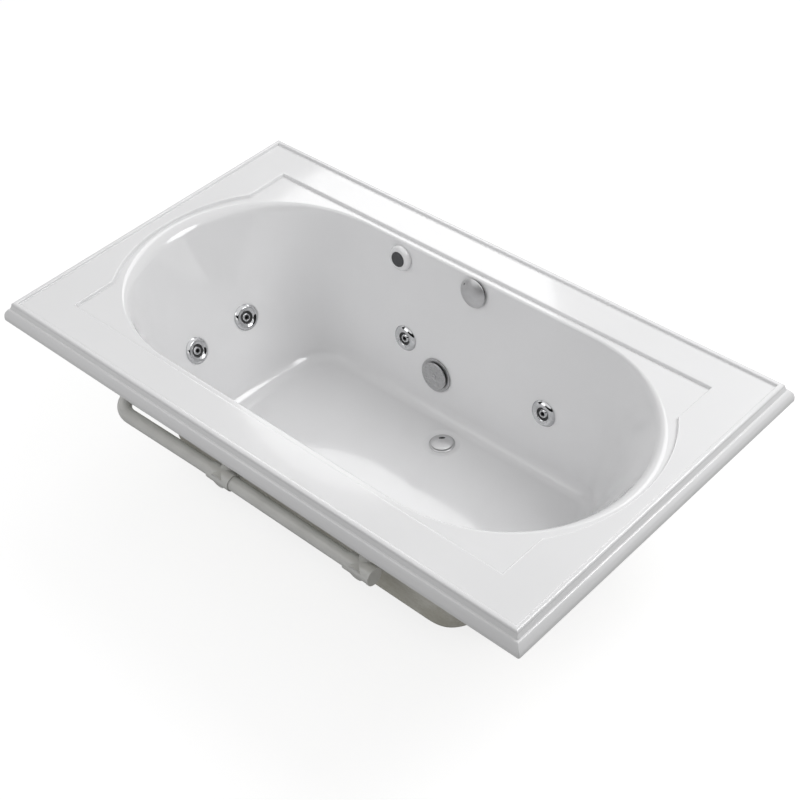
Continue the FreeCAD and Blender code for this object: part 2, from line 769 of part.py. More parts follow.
def pump_bracket():
    low = floor_under - pump_z
    foot = box((-64, low, -190), (64, low + 4.0, -90))
    for z in (-190, -102):
        foot = foot.fuse(box((-40, low, z), (40, -30, z + 12)))
    foot = foot.cut(rod(motor_radius + 0.1, -300, 0))
    for x, z in bracket_holes:
        foot = foot.cut(bar(4.2, Vector(x, low - 5, z), Vector(x, low + 20, z)))
    return foot


def pump_bolts():
    low = floor_under - pump_z
    solids = []
    for x, z in bracket_holes:
        head = bar(7.0, Vector(x, low + 4.0, z), Vector(x, low + 9.0, z))
        solids.append(head.fuse(bar(4.0, Vector(x, low - 14.0, z), Vector(x, low + 5.0, z))))
    for index in range(8):
        turn = (index + 0.5) * math.pi / 4
        bolt = rod(2.4, -43.0, -19.0).fuse(rod(4.1, -19.0, -15.5)).fuse(rod(4.1, -46.5, -43.0))
        bolt.translate(Vector(bolt_circle * math.cos(turn), bolt_circle * math.sin(turn), 0))
        solids.append(bolt)
    return solids


def bolt_holes(shape):
    for index in range(8):
        turn = (index + 0.5) * math.pi / 4
        x = bolt_circle * math.cos(turn)
        y = bolt_circle * math.sin(turn)
        shape = shape.cut(rod(2.6, -50, -10, x, y))
        shape = shape.cut(rod(4.3, -19.0, -15.2, x, y))
    return shape


def terminal_box():
    low = motor_radius
    case = box((-25, low - 6, -185), (55, low + 40, -85))
    case = case.cut(box((-22, low + 3, -182), (52, low + 37, -88)))
    case = case.cut(rod(motor_radius + 0.1, -300, 0))
    case = case.cut(bar(8.1, Vector(50, low + 20, -135), Vector(60, low + 20, -135)))
    return case.cut(bar(2.6, Vector(15, low + 30, -110), Vector(15, low + 50, -110)))


def terminal_gland():
    height = motor_radius + 20
    body = bar(8.0, Vector(48, height, -135), Vector(56, height, -135))
    body = body.fuse(bar(12.0, Vector(55, height, -135), Vector(62, height, -135)))
    body = body.fuse(bar(10.0, Vector(62, height, -135), Vector(72, height, -135)))
    return body.cut(bar(4.5, Vector(40, height, -135), Vector(80, height, -135)))


def pump_union():
    turning = nut(31.0, 24.0 + slack, port_top - 11.0, port_top + 11.0)
    turning.rotate(Vector(0, 0, 0), Vector(1, 0, 0), -90.0)
    turning.translate(Vector(-discharge_offset, 0, discharge_forward))
    return turning


# pipes
def discharge_tee():
    near_end = tee_point - run_way * 38.0
    far_end = tee_point + run_way * 38.0
    base = Vector(tee_point.x, tee_point.y, pump_z + port_top)
    tee = bar(25.0, near_end, far_end).fuse(bar(24.0, base, tee_point))
    bore = water_pipe_radius - water_pipe_wall
    tee = tee.cut(bar(bore, near_end - run_way, far_end + run_way))
    tee = tee.cut(bar(bore, base - Vector(0, 0, 1), tee_point))
    fit = water_pipe_radius + 0.1
    tee = tee.cut(bar(fit, near_end - run_way, near_end + run_way * socket_grip))
    return tee.cut(bar(fit, far_end - run_way * socket_grip, far_end + run_way))


def line_points(back, rise, grip):
    """Points of the five spans that join the jets, with a place per jet port."""
    def port(seat, x):
        return spot(seat, x, rise, -back)

    right_far, left_far, end_far, end_near, left_near, right_near = jets
    far_corner = port(end_far, corner_reach)
    near_corner = port(end_near, -corner_reach)
    far_corner.y = port(left_far, 0).y
    near_corner.y = port(left_near, 0).y
    return [
        [port(right_far, -grip), port(left_far, grip)],
        [port(left_far, -grip), port(left_far, -corner_straight), far_corner, port(end_far, grip)],
        [port(end_far, -grip), port(end_far, -66.0), port(end_near, 66.0), port(end_near, grip)],
        [port(end_near, -grip), near_corner, port(left_near, corner_straight), port(left_near, grip)],
        [port(left_near, -grip), port(right_near, grip)],
    ]


def water_pipes():
    grip = socket_half_length - socket_grip + 0.5
    inner = water_pipe_radius - water_pipe_wall
    solids = []
    for number, points in enumerate(line_points(manifold_back, 0.0, grip)):
        if number == 1:
            before = tee_point - run_way * (38.5 - socket_grip)
            after = tee_point + run_way * (38.5 - socket_grip)
            solids.append(pipe_run(points[:2] + [before], water_pipe_radius, inner))
            points = [after] + points[2:]
        solids.append(pipe_run(points, water_pipe_radius, inner))
    return Part.makeCompound(solids)


def pipe_run(points, outer, inner, bend=75.0):
    if len(points) == 2:
        way = points[1] - points[0]
        way.normalize()
        return bar(outer, points[0], points[1]).cut(bar(inner, points[0] - way, points[1] + way))
    return pipe(points, bend, outer, inner)


def air_pipes():
    inner = air_pipe_radius - 2.0
    solids = []
    for points in line_points(air_pipe_back, air_pipe_rise, 12.5):
        solids.append(pipe_run(points, air_pipe_radius, inner, 60.0))
    start = spot(jets[0], 12.5, air_pipe_rise, -air_pipe_back)
    solids.append(pipe_run([start, start + Vector(80, 0, 0), intake_point + Vector(0, 0, -60),
                            intake_point + Vector(0, 0, 14)], air_pipe_radius, inner, 32.0))
    return Part.makeCompound(solids)


deck_under = bath_height - deck_depth - shell
intake_point = Vector(400.0, 448.0, deck_under - 66.0)


def air_intake():
    body = turned([(0, 0), (14, 0), (26, 8), (27, 12, 0), (27, 16), (27, 56), (33, 60), (33, 66), (0, 66)])
    body = body.cut(rod(air_pipe_radius + 0.1, -1, 15)).cut(rod(6.0, 10, 20)).cut(rod(22.0, 18, 60))
    for index in range(10):
        vent = box((18.0, -2.0, 26.0), (30.0, 2.0, 50.0))
        vent.rotate(Vector(0, 0, 0), Vector(0, 0, 1), 36.0 * index)
        body = body.cut(vent)
    body.translate(intake_point)
    return body


def pipe_plugs():
    solids = []
    back = -manifold_back
    for seat, side in ((jets[0], 1.0), (jets[5], -1.0)):
        deep = side * (socket_half_length - socket_grip + 0.5)
        mouth = side * socket_half_length
        plug = bar(water_pipe_radius, Vector(deep, 0, back), Vector(mouth, 0, back))
        plug = plug.fuse(bar(26.0, Vector(mouth, 0, back), Vector(mouth + side * 6.0, 0, back)))
        solids.append(moved(plug, seat))
    small = bar(air_pipe_radius, Vector(-12.5, air_pipe_rise, -air_pipe_back),
                Vector(-24, air_pipe_rise, -air_pipe_back))
    small = small.fuse(bar(11.0, Vector(-24, air_pipe_rise, -air_pipe_back),
                           Vector(-29, air_pipe_rise, -air_pipe_back)))
    solids.append(moved(small, jets[5]))
    return Part.makeCompound(solids)


def suction_pipe():
    start = spot(suction_seat, -42.5, 0, -suction_back)
    inlet = spot(pump_seat, 0, 0, 46.5)
    upper = start - Vector(75.0, 0, 0)
    lower = inlet + Vector(105.0, 0, 0)
    return pipe([start, upper, lower, inlet], 110.0, suction_pipe_radius,
                suction_pipe_radius - suction_pipe_wall)


tube_radius = 3.0
tube_z = deck_under - 8.0
tube_end = spot(pump_seat, 15, motor_radius + 38.5, -110)
tube_y = tube_end.y


def air_tube():
    start = spot(control_seat, 0, 0, -60.0)
    out = spot(control_seat, 0, 0, -86.0)
    out = Vector(out.x, tube_y, out.z - 3.0)
    points = [start, out, Vector(out.x - 70.0, tube_y, tube_z), Vector(tube_end.x, tube_y, tube_z),
              tube_end]
    return swept(points, 24.0, tube_radius - 0.5)


def tube_clips():
    solids = []
    for x in (-380.0, -470.0, -560.0):
        clip = box((x - 7, tube_y - 7, tube_z - 6), (x + 7, tube_y + 7, deck_under))
        middle = Vector(x, tube_y, tube_z)
        way = Vector(10, 0, 0)
        solids.append(clip.cut(bar(tube_radius - 0.4, middle - way, middle + way)))
    return Part.makeCompound(solids)


def save_all():
    save("tub_shell", tub_shell())
    save("base_board", base_board())
    save("base_runners", base_runners())
    save("jet_bodies", at_jets(jet_body()))
    ring_shape = jet_ring()
    nozzle_shape = jet_nozzle()
    for index, seat in enumerate(jets):
        save("jet_ring_" + str(index + 1), moved(ring_shape, seat))
        save("jet_nozzle_" + str(index + 1), moved(nozzle_shape, seat))
    gasket = ring(jet_flange_radius, jet_barrel_radius + 0.5, seal_gap, seal)
    gaskets = [moved(gasket, seat) for seat in jets]
    gaskets.append(moved(ring(48.0, 30.5, seal_gap, seal), suction_seat))
    gaskets.append(moved(ring(38.0, 33.6, seal_gap, seal), overflow_seat))
    save("wall_gaskets", Part.makeCompound(gaskets))
    hand_nut = nut(38.0, jet_barrel_radius + 0.1, -pad_depth - 12.0, -pad_depth)
    nuts = [moved(hand_nut, seat) for seat in jets]
    nuts.append(moved(nut(45.0, 30.1, -pad_depth - 14.0, -pad_depth), suction_seat))
    nuts.append(moved(nut(24.0, 14.4, -pad_depth - 10.0, -pad_depth, 6), control_seat))
    save("wall_nuts", Part.makeCompound(nuts))
    save("suction_body", moved(suction_body(), suction_seat))
    save("suction_cover", moved(suction_cover(), suction_seat))
    save("suction_screw", moved(suction_screw(), suction_seat))
    save("overflow_body", overflow_body())
    save("overflow_plate", moved(overflow_plate(), overflow_seat))
    save("overflow_cap", moved(overflow_cap(), overflow_seat))
    save("overflow_screws", overflow_screws())
    save("overflow_pipe", overflow_pipe())
    save("waste_tee", waste_tee())
    save("drain_shoe", drain_shoe())
    save("drain_flange", drain_flange())
    save("drain_stopper", drain_stopper())
    save("drain_cable", drain_cable())
    save("control_bezel", moved(control_bezel(), control_seat))
    save("control_body", moved(control_body(), control_seat))
    save("control_button", moved(control_button(), control_seat))
    save("pump_volute", moved(bolt_holes(pump_volute()), pump_seat))
    save("pump_backplate", moved(bolt_holes(pump_backplate()), pump_seat))
    save("pump_seal", moved(pump_seal(), pump_seat))
    save("pump_impeller", moved(pump_impeller(), pump_seat))
    save("pump_shaft", moved(pump_shaft(), pump_seat))
    save("motor_housing", moved(bolt_holes(motor_housing()), pump_seat))
    save("motor_stator", moved(motor_stator(), pump_seat))
    save("motor_rotor", moved(motor_rotor(), pump_seat))
    save("motor_bearings", moved(motor_bearings(), pump_seat))
    save("motor_fan", moved(motor_fan(), pump_seat))
    save("motor_fan_cover", moved(motor_fan_cover(), pump_seat))
    save("pump_bracket", moved(pump_bracket(), pump_seat))
    save("pump_bolts", moved(Part.makeCompound(pump_bolts()), pump_seat))
    save("pump_union", moved(pump_union(), pump_seat))
    save("terminal_box", moved(terminal_box(), pump_seat))
    save("terminal_gland", moved(terminal_gland(), pump_seat))
    save("suction_pipe", suction_pipe())
    save("water_pipes", water_pipes())
    save("discharge_tee", discharge_tee())
    save("pipe_plugs", pipe_plugs())
    save("air_pipes", air_pipes())
    save("air_intake", air_intake())
    save("air_tube", air_tube())
    save("tube_clips", tube_clips())


if __name__ == "__main__":
    save_all()
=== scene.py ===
import math

import bmesh
import bpy
from mathutils import Euler, Matrix, Vector


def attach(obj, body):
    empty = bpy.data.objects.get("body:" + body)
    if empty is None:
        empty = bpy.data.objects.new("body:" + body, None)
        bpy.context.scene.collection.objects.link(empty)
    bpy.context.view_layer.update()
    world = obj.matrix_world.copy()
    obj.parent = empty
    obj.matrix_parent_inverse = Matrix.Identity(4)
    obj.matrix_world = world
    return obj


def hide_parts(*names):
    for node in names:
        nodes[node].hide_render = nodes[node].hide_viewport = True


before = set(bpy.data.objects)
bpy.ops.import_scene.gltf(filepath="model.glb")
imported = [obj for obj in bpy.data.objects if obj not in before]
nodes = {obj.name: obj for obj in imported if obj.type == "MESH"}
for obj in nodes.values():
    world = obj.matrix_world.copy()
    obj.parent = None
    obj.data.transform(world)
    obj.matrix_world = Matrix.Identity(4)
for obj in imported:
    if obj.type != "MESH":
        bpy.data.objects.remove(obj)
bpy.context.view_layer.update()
mm = 0.001
print("bath loaded:", len(nodes), "parts")


def linkPiece(name, data):
    piece = bpy.data.objects.new(name, data)
    bpy.context.scene.collection.objects.link(piece)
    return piece


def meshPiece(name, points, faces):
    mesh = bpy.data.meshes.new(name)
    mesh.from_pydata(points, [], faces)
    mesh.update()
    return linkPiece(name, mesh)


# camera, where the photograph was taken from
cameraSettings = {
    "eye": (2.3146, -2.2192, 3.2409),
    "turn": (48.187, 4.0756, 43.7926),
    "lens": 72.43,
    "shift": (0.0560, -0.0036),
    "farEnd": 60,
}


def placeCamera(settings):
    lensData = bpy.data.cameras.new("photoCamera")
    lensData.lens = settings["lens"]
    lensData.shift_x, lensData.shift_y = settings["shift"]
    lensData.clip_end = settings["farEnd"]
    camera = linkPiece("photoCamera", lensData)
    camera.location = settings["eye"]
    camera.rotation_euler = Euler([math.radians(a) for a in settings["turn"]])
    bpy.context.scene.camera = camera


placeCamera(cameraSettings)
bpy.context.scene.view_settings.view_transform = "Standard"


# studio light: a big soft box over the far right corner, a weaker one over the far left corner and a
# wide one out over the near left corner
lightSettings = {
    "key": {"at": (1.85, 1.5, 2.95), "aim": (0, 0.1, 0.4), "size": 1.7, "power": 48},
    "back": {"at": (-1.9, 1.9, 2.7), "aim": (-0.3, 0.1, 0.5), "size": 1.6, "power": 16},
    "fill": {"at": (-1.6, -2.4, 2.6), "aim": (-0.2, 0, 0.5), "size": 2.2, "power": 20},
}


def addSoftBox(name, box):
    lamp = bpy.data.lights.new(name, "AREA")
    lamp.shape = "DISK"
    lamp.size = box["size"]
    lamp.energy = box["power"]
    holder = linkPiece(name, lamp)
    holder.location = box["at"]
    aim = Vector(box["aim"]) - Vector(box["at"])
    holder.rotation_euler = aim.to_track_quat("-Z", "Y").to_euler()


def addMath(tree, operation, *values):
    # each value is a number or another node's output
    step = tree.nodes.new("ShaderNodeMath")
    step.operation = operation
    for place, value in zip(step.inputs, values):
        if isinstance(value, (int, float)):
            place.default_value = value
        else:
            tree.links.new(value, place)
    return step.outputs[0]


def addSpread(tree, source, low, high, start=0.3, end=0.7):
    # start and end of the source become low and high
    spread = tree.nodes.new("ShaderNodeMapRange")
    spread.inputs["From Min"].default_value = start
    spread.inputs["From Max"].default_value = end
    spread.inputs["To Min"].default_value = low
    spread.inputs["To Max"].default_value = high
    tree.links.new(source, spread.inputs["Value"])
    return spread.outputs[0]


def mixShaders(tree, share, first, second):
    mix = tree.nodes.new("ShaderNodeMixShader")
    for source, place in zip((share, first, second), mix.inputs):
        tree.links.new(source, place)
    return mix.outputs[0]


def seenBy(tree, *kinds):
    # 1 for these kinds of rays, 0 for the light that falls on things
    paths = tree.nodes.new("ShaderNodeLightPath")
    found = paths.outputs[kinds[0]]
    for kind in kinds[1:]:
        found = addMath(tree, "MAXIMUM", found, paths.outputs[kind])
    return found


# pale air, a little weaker from above, in front of a white backdrop
airSettings = {"fromBelow": 0.66, "fromAbove": 0.55, "low": -0.2, "high": 1.0, "backdrop": 1.0}


def makeAir(settings):
    world = bpy.data.worlds.new("studioAir")
    world.use_nodes = True
    tree = world.node_tree
    tree.nodes.clear()
    out = tree.nodes.new("ShaderNodeOutputWorld")
    light = tree.nodes.new("ShaderNodeBackground")
    backdrop = tree.nodes.new("ShaderNodeBackground")
    backdrop.inputs["Color"].default_value = (1, 1, 1, 1)
    backdrop.inputs["Strength"].default_value = settings["backdrop"]
    spot = tree.nodes.new("ShaderNodeTexCoord")
    split = tree.nodes.new("ShaderNodeSeparateXYZ")
    tree.links.new(spot.outputs["Generated"], split.inputs[0])
    rise = addSpread(tree, split.outputs["Z"], settings["fromBelow"], settings["fromAbove"],
                     settings["low"], settings["high"])
    tree.links.new(rise, light.inputs["Strength"])
    seen = seenBy(tree, "Is Camera Ray", "Is Glossy Ray", "Is Transmission Ray")
    mix = mixShaders(tree, seen, light.outputs[0], backdrop.outputs[0])
    tree.links.new(mix, out.inputs["Surface"])
    bpy.context.scene.world = world


def startSurface(name):
    material = bpy.data.materials.new(name)
    material.use_nodes = True
    tree = material.node_tree
    tree.nodes.clear()
    out = tree.nodes.new("ShaderNodeOutputMaterial")
    return material, tree, out.inputs["Surface"]


# a paper floor just under the bath, whose glow shows to the camera but lights nothing
floorSettings = {"reach": 14.0, "drop": 0.0006, "paper": 0.36, "glow": 0.78}


def makeFloor(look):
    reach, low = look["reach"], -look["drop"]
    corners = [(-reach, -reach, low), (reach, -reach, low), (reach, reach, low), (-reach, reach, low)]
    floor = meshPiece("paleFloor", corners, [(0, 1, 2, 3)])
    paper, tree, surface = startSurface("palePaper")
    sheet = tree.nodes.new("ShaderNodeBsdfDiffuse")
    sheet.inputs["Color"].default_value = (look["paper"], look["paper"], look["paper"], 1)
    glow = tree.nodes.new("ShaderNodeEmission")
    glow.inputs["Strength"].default_value = look["glow"]
    both = tree.nodes.new("ShaderNodeAddShader")
    tree.links.new(sheet.outputs[0], both.inputs[0])
    tree.links.new(glow.outputs[0], both.inputs[1])
    seen = seenBy(tree, "Is Camera Ray", "Is Transmission Ray")
    lit = mixShaders(tree, seen, sheet.outputs[0], both.outputs[0])
    # from below the floor is clear, so the underside can be looked at
    facing = tree.nodes.new("ShaderNodeNewGeometry")
    clear = tree.nodes.new("ShaderNodeBsdfTransparent")
    side = mixShaders(tree, facing.outputs["Backfacing"], lit, clear.outputs[0])
    tree.links.new(side, surface)
    floor.data.materials.append(paper)


# a dark cloth hung round the near side, which only shows in chrome
clothSettings = {"reach": 5.2, "angles": (-165, 25), "low": 0.25, "high": 5.4, "steps": 24, "tone": 0.02}


def hangCloth(look):
    first, last = look["angles"]
    points = []
    for n in range(look["steps"] + 1):
        turn = math.radians(first + (last - first) * n / look["steps"])
        for height in (look["low"], look["high"]):
            points.append((look["reach"] * math.cos(turn), look["reach"] * math.sin(turn), height))
    faces = [(2 * n, 2 * n + 2, 2 * n + 3, 2 * n + 1) for n in range(look["steps"])]
    cloth = meshPiece("darkCloth", points, faces)
    felt, tree, surface = startSurface("darkFelt")
    glow = tree.nodes.new("ShaderNodeEmission")
    glow.inputs["Color"].default_value = (look["tone"], look["tone"], look["tone"], 1)
    tree.links.new(glow.outputs[0], surface)
    cloth.data.materials.append(felt)
    cloth.visible_camera = False
    cloth.visible_diffuse = False
    cloth.visible_shadow = False
    cloth.visible_transmission = False


hangCloth(clothSettings)
for name, box in lightSettings.items():
    addSoftBox(name + "Light", box)
makeAir(airSettings)
makeFloor(floorSettings)
print("camera, light and floor set")


# finishes: shade and tint are the ends of the colour, rough those of the roughness and bump is the
# relief's strength; grain, roughSize and bumpSize are noise sizes and bumpDepth a depth, in metres
finishSettings = {
    "acrylic": {"shade": (0.812, 0.812, 0.818), "tint": (0.840, 0.840, 0.846), "grain": 0.35,
                "rough": (0.07, 0.13), "roughSize": 0.05, "bump": 0.012, "bumpSize": 0.045,
                "bumpDepth": 0.0006, "coat": 0.25},
    "pvcWhite": {"shade": (0.70, 0.70, 0.68), "tint": (0.80, 0.80, 0.78), "grain": 0.08,
                 "rough": (0.28, 0.42), "roughSize": 0.01, "bump": 0.10, "bumpSize": 0.004,
                 "bumpDepth": 0.0002},
    "capWhite": {"shade": (0.80, 0.80, 0.81), "tint": (0.84, 0.84, 0.85), "grain": 0.03,
                 "rough": (0.10, 0.18), "roughSize": 0.006, "bump": 0.02, "bumpSize": 0.003,
                 "bumpDepth": 0.0001},
    "pvcBlack": {"shade": (0.018, 0.018, 0.019), "tint": (0.035, 0.035, 0.037), "grain": 0.02,
                 "rough": (0.32, 0.48), "roughSize": 0.006, "bump": 0.15, "bumpSize": 0.0015,
                 "bumpDepth": 0.0002},
    "clearPipe": {"shade": (0.62, 0.67, 0.70), "tint": (0.74, 0.79, 0.82), "grain": 0.05,
                  "rough": (0.18, 0.30), "roughSize": 0.01, "bump": 0.05, "bumpSize": 0.004,
                  "bumpDepth": 0.0001, "clear": 0.12},
    "rubber": {"shade": (0.012, 0.012, 0.012), "tint": (0.03, 0.03, 0.03), "grain": 0.01,
               "rough": (0.65, 0.85), "roughSize": 0.003, "bump": 0.3, "bumpSize": 0.0008,
               "bumpDepth": 0.0002},
    "chrome": {"shade": (0.56, 0.565, 0.575), "tint": (0.64, 0.645, 0.655), "grain": 0.02,
               "rough": (0.035, 0.07), "roughSize": 0.008, "bump": 0.015, "bumpSize": 0.003,
               "bumpDepth": 0.0001, "metal": 1.0},
    "satin": {"shade": (0.44, 0.44, 0.445), "tint": (0.52, 0.52, 0.525), "grain": 0.015,
              "rough": (0.30, 0.40), "roughSize": 0.002, "bump": 0.06, "bumpSize": 0.0006,
              "bumpDepth": 0.0001, "metal": 1.0},
    "brightSatin": {"shade": (0.58, 0.58, 0.585), "tint": (0.64, 0.64, 0.645), "grain": 0.02,
                    "rough": (0.44, 0.52), "roughSize": 0.004, "bump": 0.03, "bumpSize": 0.0008,
                    "bumpDepth": 0.0001, "metal": 1.0},
    # painted shade: a near-black colour given to hollows, undercuts and dents, where shade falls
    "paintedShade": {"shade": (0.02, 0.02, 0.021), "tint": (0.05, 0.05, 0.052), "grain": 0.004,
                  "rough": (0.35, 0.5), "roughSize": 0.003, "bump": 0.1, "bumpSize": 0.001,
                  "bumpDepth": 0.0001},
    "steel": {"shade": (0.46, 0.46, 0.47), "tint": (0.60, 0.60, 0.61), "grain": 0.008,
              "rough": (0.22, 0.38), "roughSize": 0.002, "bump": 0.08, "bumpSize": 0.0007,
              "bumpDepth": 0.0001, "metal": 1.0},
    "zinc": {"shade": (0.48, 0.50, 0.53), "tint": (0.66, 0.67, 0.69), "grain": 0.02,
             "rough": (0.30, 0.50), "roughSize": 0.01, "bump": 0.08, "bumpSize": 0.003,
             "bumpDepth": 0.0001, "metal": 0.9},
    "buttonGrey": {"shade": (0.045, 0.047, 0.050), "tint": (0.062, 0.064, 0.068), "grain": 0.01,
                   "rough": (0.34, 0.46), "roughSize": 0.002, "bump": 0.12, "bumpSize": 0.0006,
                   "bumpDepth": 0.0001},
    "cableJacket": {"shade": (0.02, 0.02, 0.02), "tint": (0.04, 0.04, 0.04), "grain": 0.02,
                    "rough": (0.40, 0.55), "roughSize": 0.003, "bump": 0.1, "bumpSize": 0.001,
                    "bumpDepth": 0.0001},
    "pumpBlack": {"shade": (0.016, 0.016, 0.018), "tint": (0.038, 0.038, 0.041), "grain": 0.03,
                  "rough": (0.36, 0.55), "roughSize": 0.004, "bump": 0.3, "bumpSize": 0.0012,
                  "bumpDepth": 0.0003},
    "impeller": {"shade": (0.42, 0.38, 0.30), "tint": (0.52, 0.48, 0.39), "grain": 0.02,
                 "rough": (0.35, 0.5), "roughSize": 0.004, "bump": 0.1, "bumpSize": 0.002,
                 "bumpDepth": 0.0001},
    "motorPaint": {"shade": (0.030, 0.036, 0.046), "tint": (0.050, 0.057, 0.068), "grain": 0.03,
                   "rough": (0.34, 0.50), "roughSize": 0.003, "bump": 0.35, "bumpSize": 0.0010,
                   "bumpDepth": 0.0003},
    "laminations": {"shade": (0.16, 0.15, 0.14), "tint": (0.30, 0.28, 0.26), "grain": 0.004,
                    "rough": (0.45, 0.65), "roughSize": 0.002, "bump": 0.3, "bumpSize": 0.0008,
                    "bumpDepth": 0.0003, "metal": 0.8},
}


def addNoise(tree, size, detail=3.0, stretch=None):
    place = tree.nodes.new("ShaderNodeTexCoord")
    noise = tree.nodes.new("ShaderNodeTexNoise")
    noise.inputs["Scale"].default_value = 1.0 / size
    noise.inputs["Detail"].default_value = detail
    if stretch:
        mapping = tree.nodes.new("ShaderNodeMapping")
        mapping.inputs["Scale"].default_value = stretch
        tree.links.new(place.outputs["Object"], mapping.inputs["Vector"])
        tree.links.new(mapping.outputs[0], noise.inputs["Vector"])
    else:
        tree.links.new(place.outputs["Object"], noise.inputs["Vector"])
    return noise.outputs["Fac"]


def addRamp(tree, source, shade, tint, low=0.3, high=0.7):
    ramp = tree.nodes.new("ShaderNodeValToRGB")
    ramp.color_ramp.elements[0].position = low
    ramp.color_ramp.elements[1].position = high
    ramp.color_ramp.elements[0].color = (*shade, 1)
    ramp.color_ramp.elements[1].color = (*tint, 1)
    tree.links.new(source, ramp.inputs[0])
    return ramp.outputs["Color"]


def addBump(tree, source, strength, depth, under=None):
    bump = tree.nodes.new("ShaderNodeBump")
    bump.inputs["Strength"].default_value = strength
    bump.inputs["Distance"].default_value = depth
    tree.links.new(source, bump.inputs["Height"])
    if under:
        tree.links.new(under, bump.inputs["Normal"])
    return bump.outputs["Normal"]


def startFinish(name):
    material = bpy.data.materials.new(name)
    material.use_nodes = True
    tree = material.node_tree
    return material, tree, tree.nodes["Principled BSDF"]


def wireFinish(tree, shader, colour, rough, normal):
    tree.links.new(colour, shader.inputs["Base Color"])
    tree.links.new(rough, shader.inputs["Roughness"])
    tree.links.new(normal, shader.inputs["Normal"])


coatRoughness = 0.04


def mixFinish(name, look):
    material, tree, shader = startFinish(name)
    colour = addRamp(tree, addNoise(tree, look["grain"]), look["shade"], look["tint"])
    rough = addSpread(tree, addNoise(tree, look["roughSize"], 2.0), *look["rough"])
    bump = addBump(tree, addNoise(tree, look["bumpSize"], 2.0), look["bump"], look["bumpDepth"])
    wireFinish(tree, shader, colour, rough, bump)
    shader.inputs["Metallic"].default_value = look.get("metal", 0.0)
    shader.inputs["Coat Weight"].default_value = look.get("coat", 0.0)
    shader.inputs["Coat Roughness"].default_value = coatRoughness
    shader.inputs["Transmission Weight"].default_value = look.get("clear", 0.0)
    return material


# bumps and the groove are strength and depth; a band is the part of the noise the colours spread over
fibreglassSettings = {"shade": (0.60, 0.58, 0.50), "tint": (0.78, 0.77, 0.71), "band": (0.15, 0.42),
                      "strand": 0.006, "along": (1.0, 0.16, 1.0), "across": (0.16, 1.0, 0.5),
                      "cloud": 0.09, "rough": (0.42, 0.66), "cloudBump": (0.5, 0.004),
                      "strandBump": (0.55, 0.0012)}


def mixFibreglass(look):
    # chopped strands under rolled resin
    material, tree, shader = startFinish("fibreglassBack")
    along = addNoise(tree, look["strand"], 5.0, look["along"])
    across = addNoise(tree, look["strand"], 5.0, look["across"])
    cloud = addNoise(tree, look["cloud"], 4.0)
    strands = addMath(tree, "MAXIMUM", along, across)
    blend = addMath(tree, "MULTIPLY", strands, cloud)
    colour = addRamp(tree, blend, look["shade"], look["tint"], *look["band"])
    rough = addSpread(tree, cloud, *look["rough"])
    broad = addBump(tree, cloud, *look["cloudBump"])
    wireFinish(tree, shader, colour, rough, addBump(tree, strands, *look["strandBump"], broad))
    return material


woodSettings = {
    "plywood": {"shade": (0.42, 0.27, 0.14), "tint": (0.66, 0.49, 0.30), "along": (0.06, 1.0, 1.0),
                "grain": 0.02, "rough": (0.5, 0.68)},
    "timber": {"shade": (0.40, 0.25, 0.12), "tint": (0.62, 0.44, 0.25), "along": (1.0, 0.05, 1.0),
               "grain": 0.012, "rough": (0.55, 0.75)},
}
# the fine fibres of both, in a share of the grain's size
fibreSettings = {"share": 0.15, "band": (0.34, 0.62), "bump": (0.4, 0.0006)}


def mixWood(name, look, fibre):
    material, tree, shader = startFinish(name)
    rings = addNoise(tree, look["grain"], 6.0, look["along"])
    fine = addNoise(tree, look["grain"] * fibre["share"], 4.0, look["along"])
    mean = addMath(tree, "MULTIPLY", addMath(tree, "ADD", rings, fine), 0.5)
    colour = addRamp(tree, mean, look["shade"], look["tint"], *fibre["band"])
    rough = addSpread(tree, rings, *look["rough"])
    wireFinish(tree, shader, colour, rough, addBump(tree, fine, *fibre["bump"]))
    return material


turnedSettings = {"shade": (0.37, 0.37, 0.375), "tint": (0.56, 0.56, 0.565), "pitch": 0.0027,
                  "rough": (0.24, 0.36), "roughSize": 0.004, "groove": (0.6, 0.00016)}


def mixTurned(look):
    # fine grooves left by a lathe tool, round the piece's own axis
    material, tree, shader = startFinish("turnedSatin")
    place = tree.nodes.new("ShaderNodeTexCoord")
    flat = tree.nodes.new("ShaderNodeVectorMath")
    flat.operation = "MULTIPLY"
    flat.inputs[1].default_value = (1, 1, 0)
    reach = tree.nodes.new("ShaderNodeVectorMath")
    reach.operation = "LENGTH"
    tree.links.new(place.outputs["Object"], flat.inputs[0])
    tree.links.new(flat.outputs[0], reach.inputs[0])
    turns = addMath(tree, "MULTIPLY", reach.outputs["Value"], 2 * math.pi / look["pitch"])
    level = addMath(tree, "MULTIPLY_ADD", addMath(tree, "SINE", turns), 0.5, 0.5)
    colour = addRamp(tree, level, look["shade"], look["tint"], 0.0, 1.0)
    rough = addSpread(tree, addNoise(tree, look["roughSize"]), *look["rough"])
    wireFinish(tree, shader, colour, rough, addBump(tree, level, *look["groove"]))
    shader.inputs["Metallic"].default_value = 1.0
    return material


finishes = {name: mixFinish(name, look) for name, look in finishSettings.items()}
finishes["turnedSatin"] = mixTurned(turnedSettings)
finishes["fibreglass"] = mixFibreglass(fibreglassSettings)
for name, look in woodSettings.items():
    finishes[name] = mixWood(name, look, fibreSettings)
print("finishes mixed:", len(finishes))


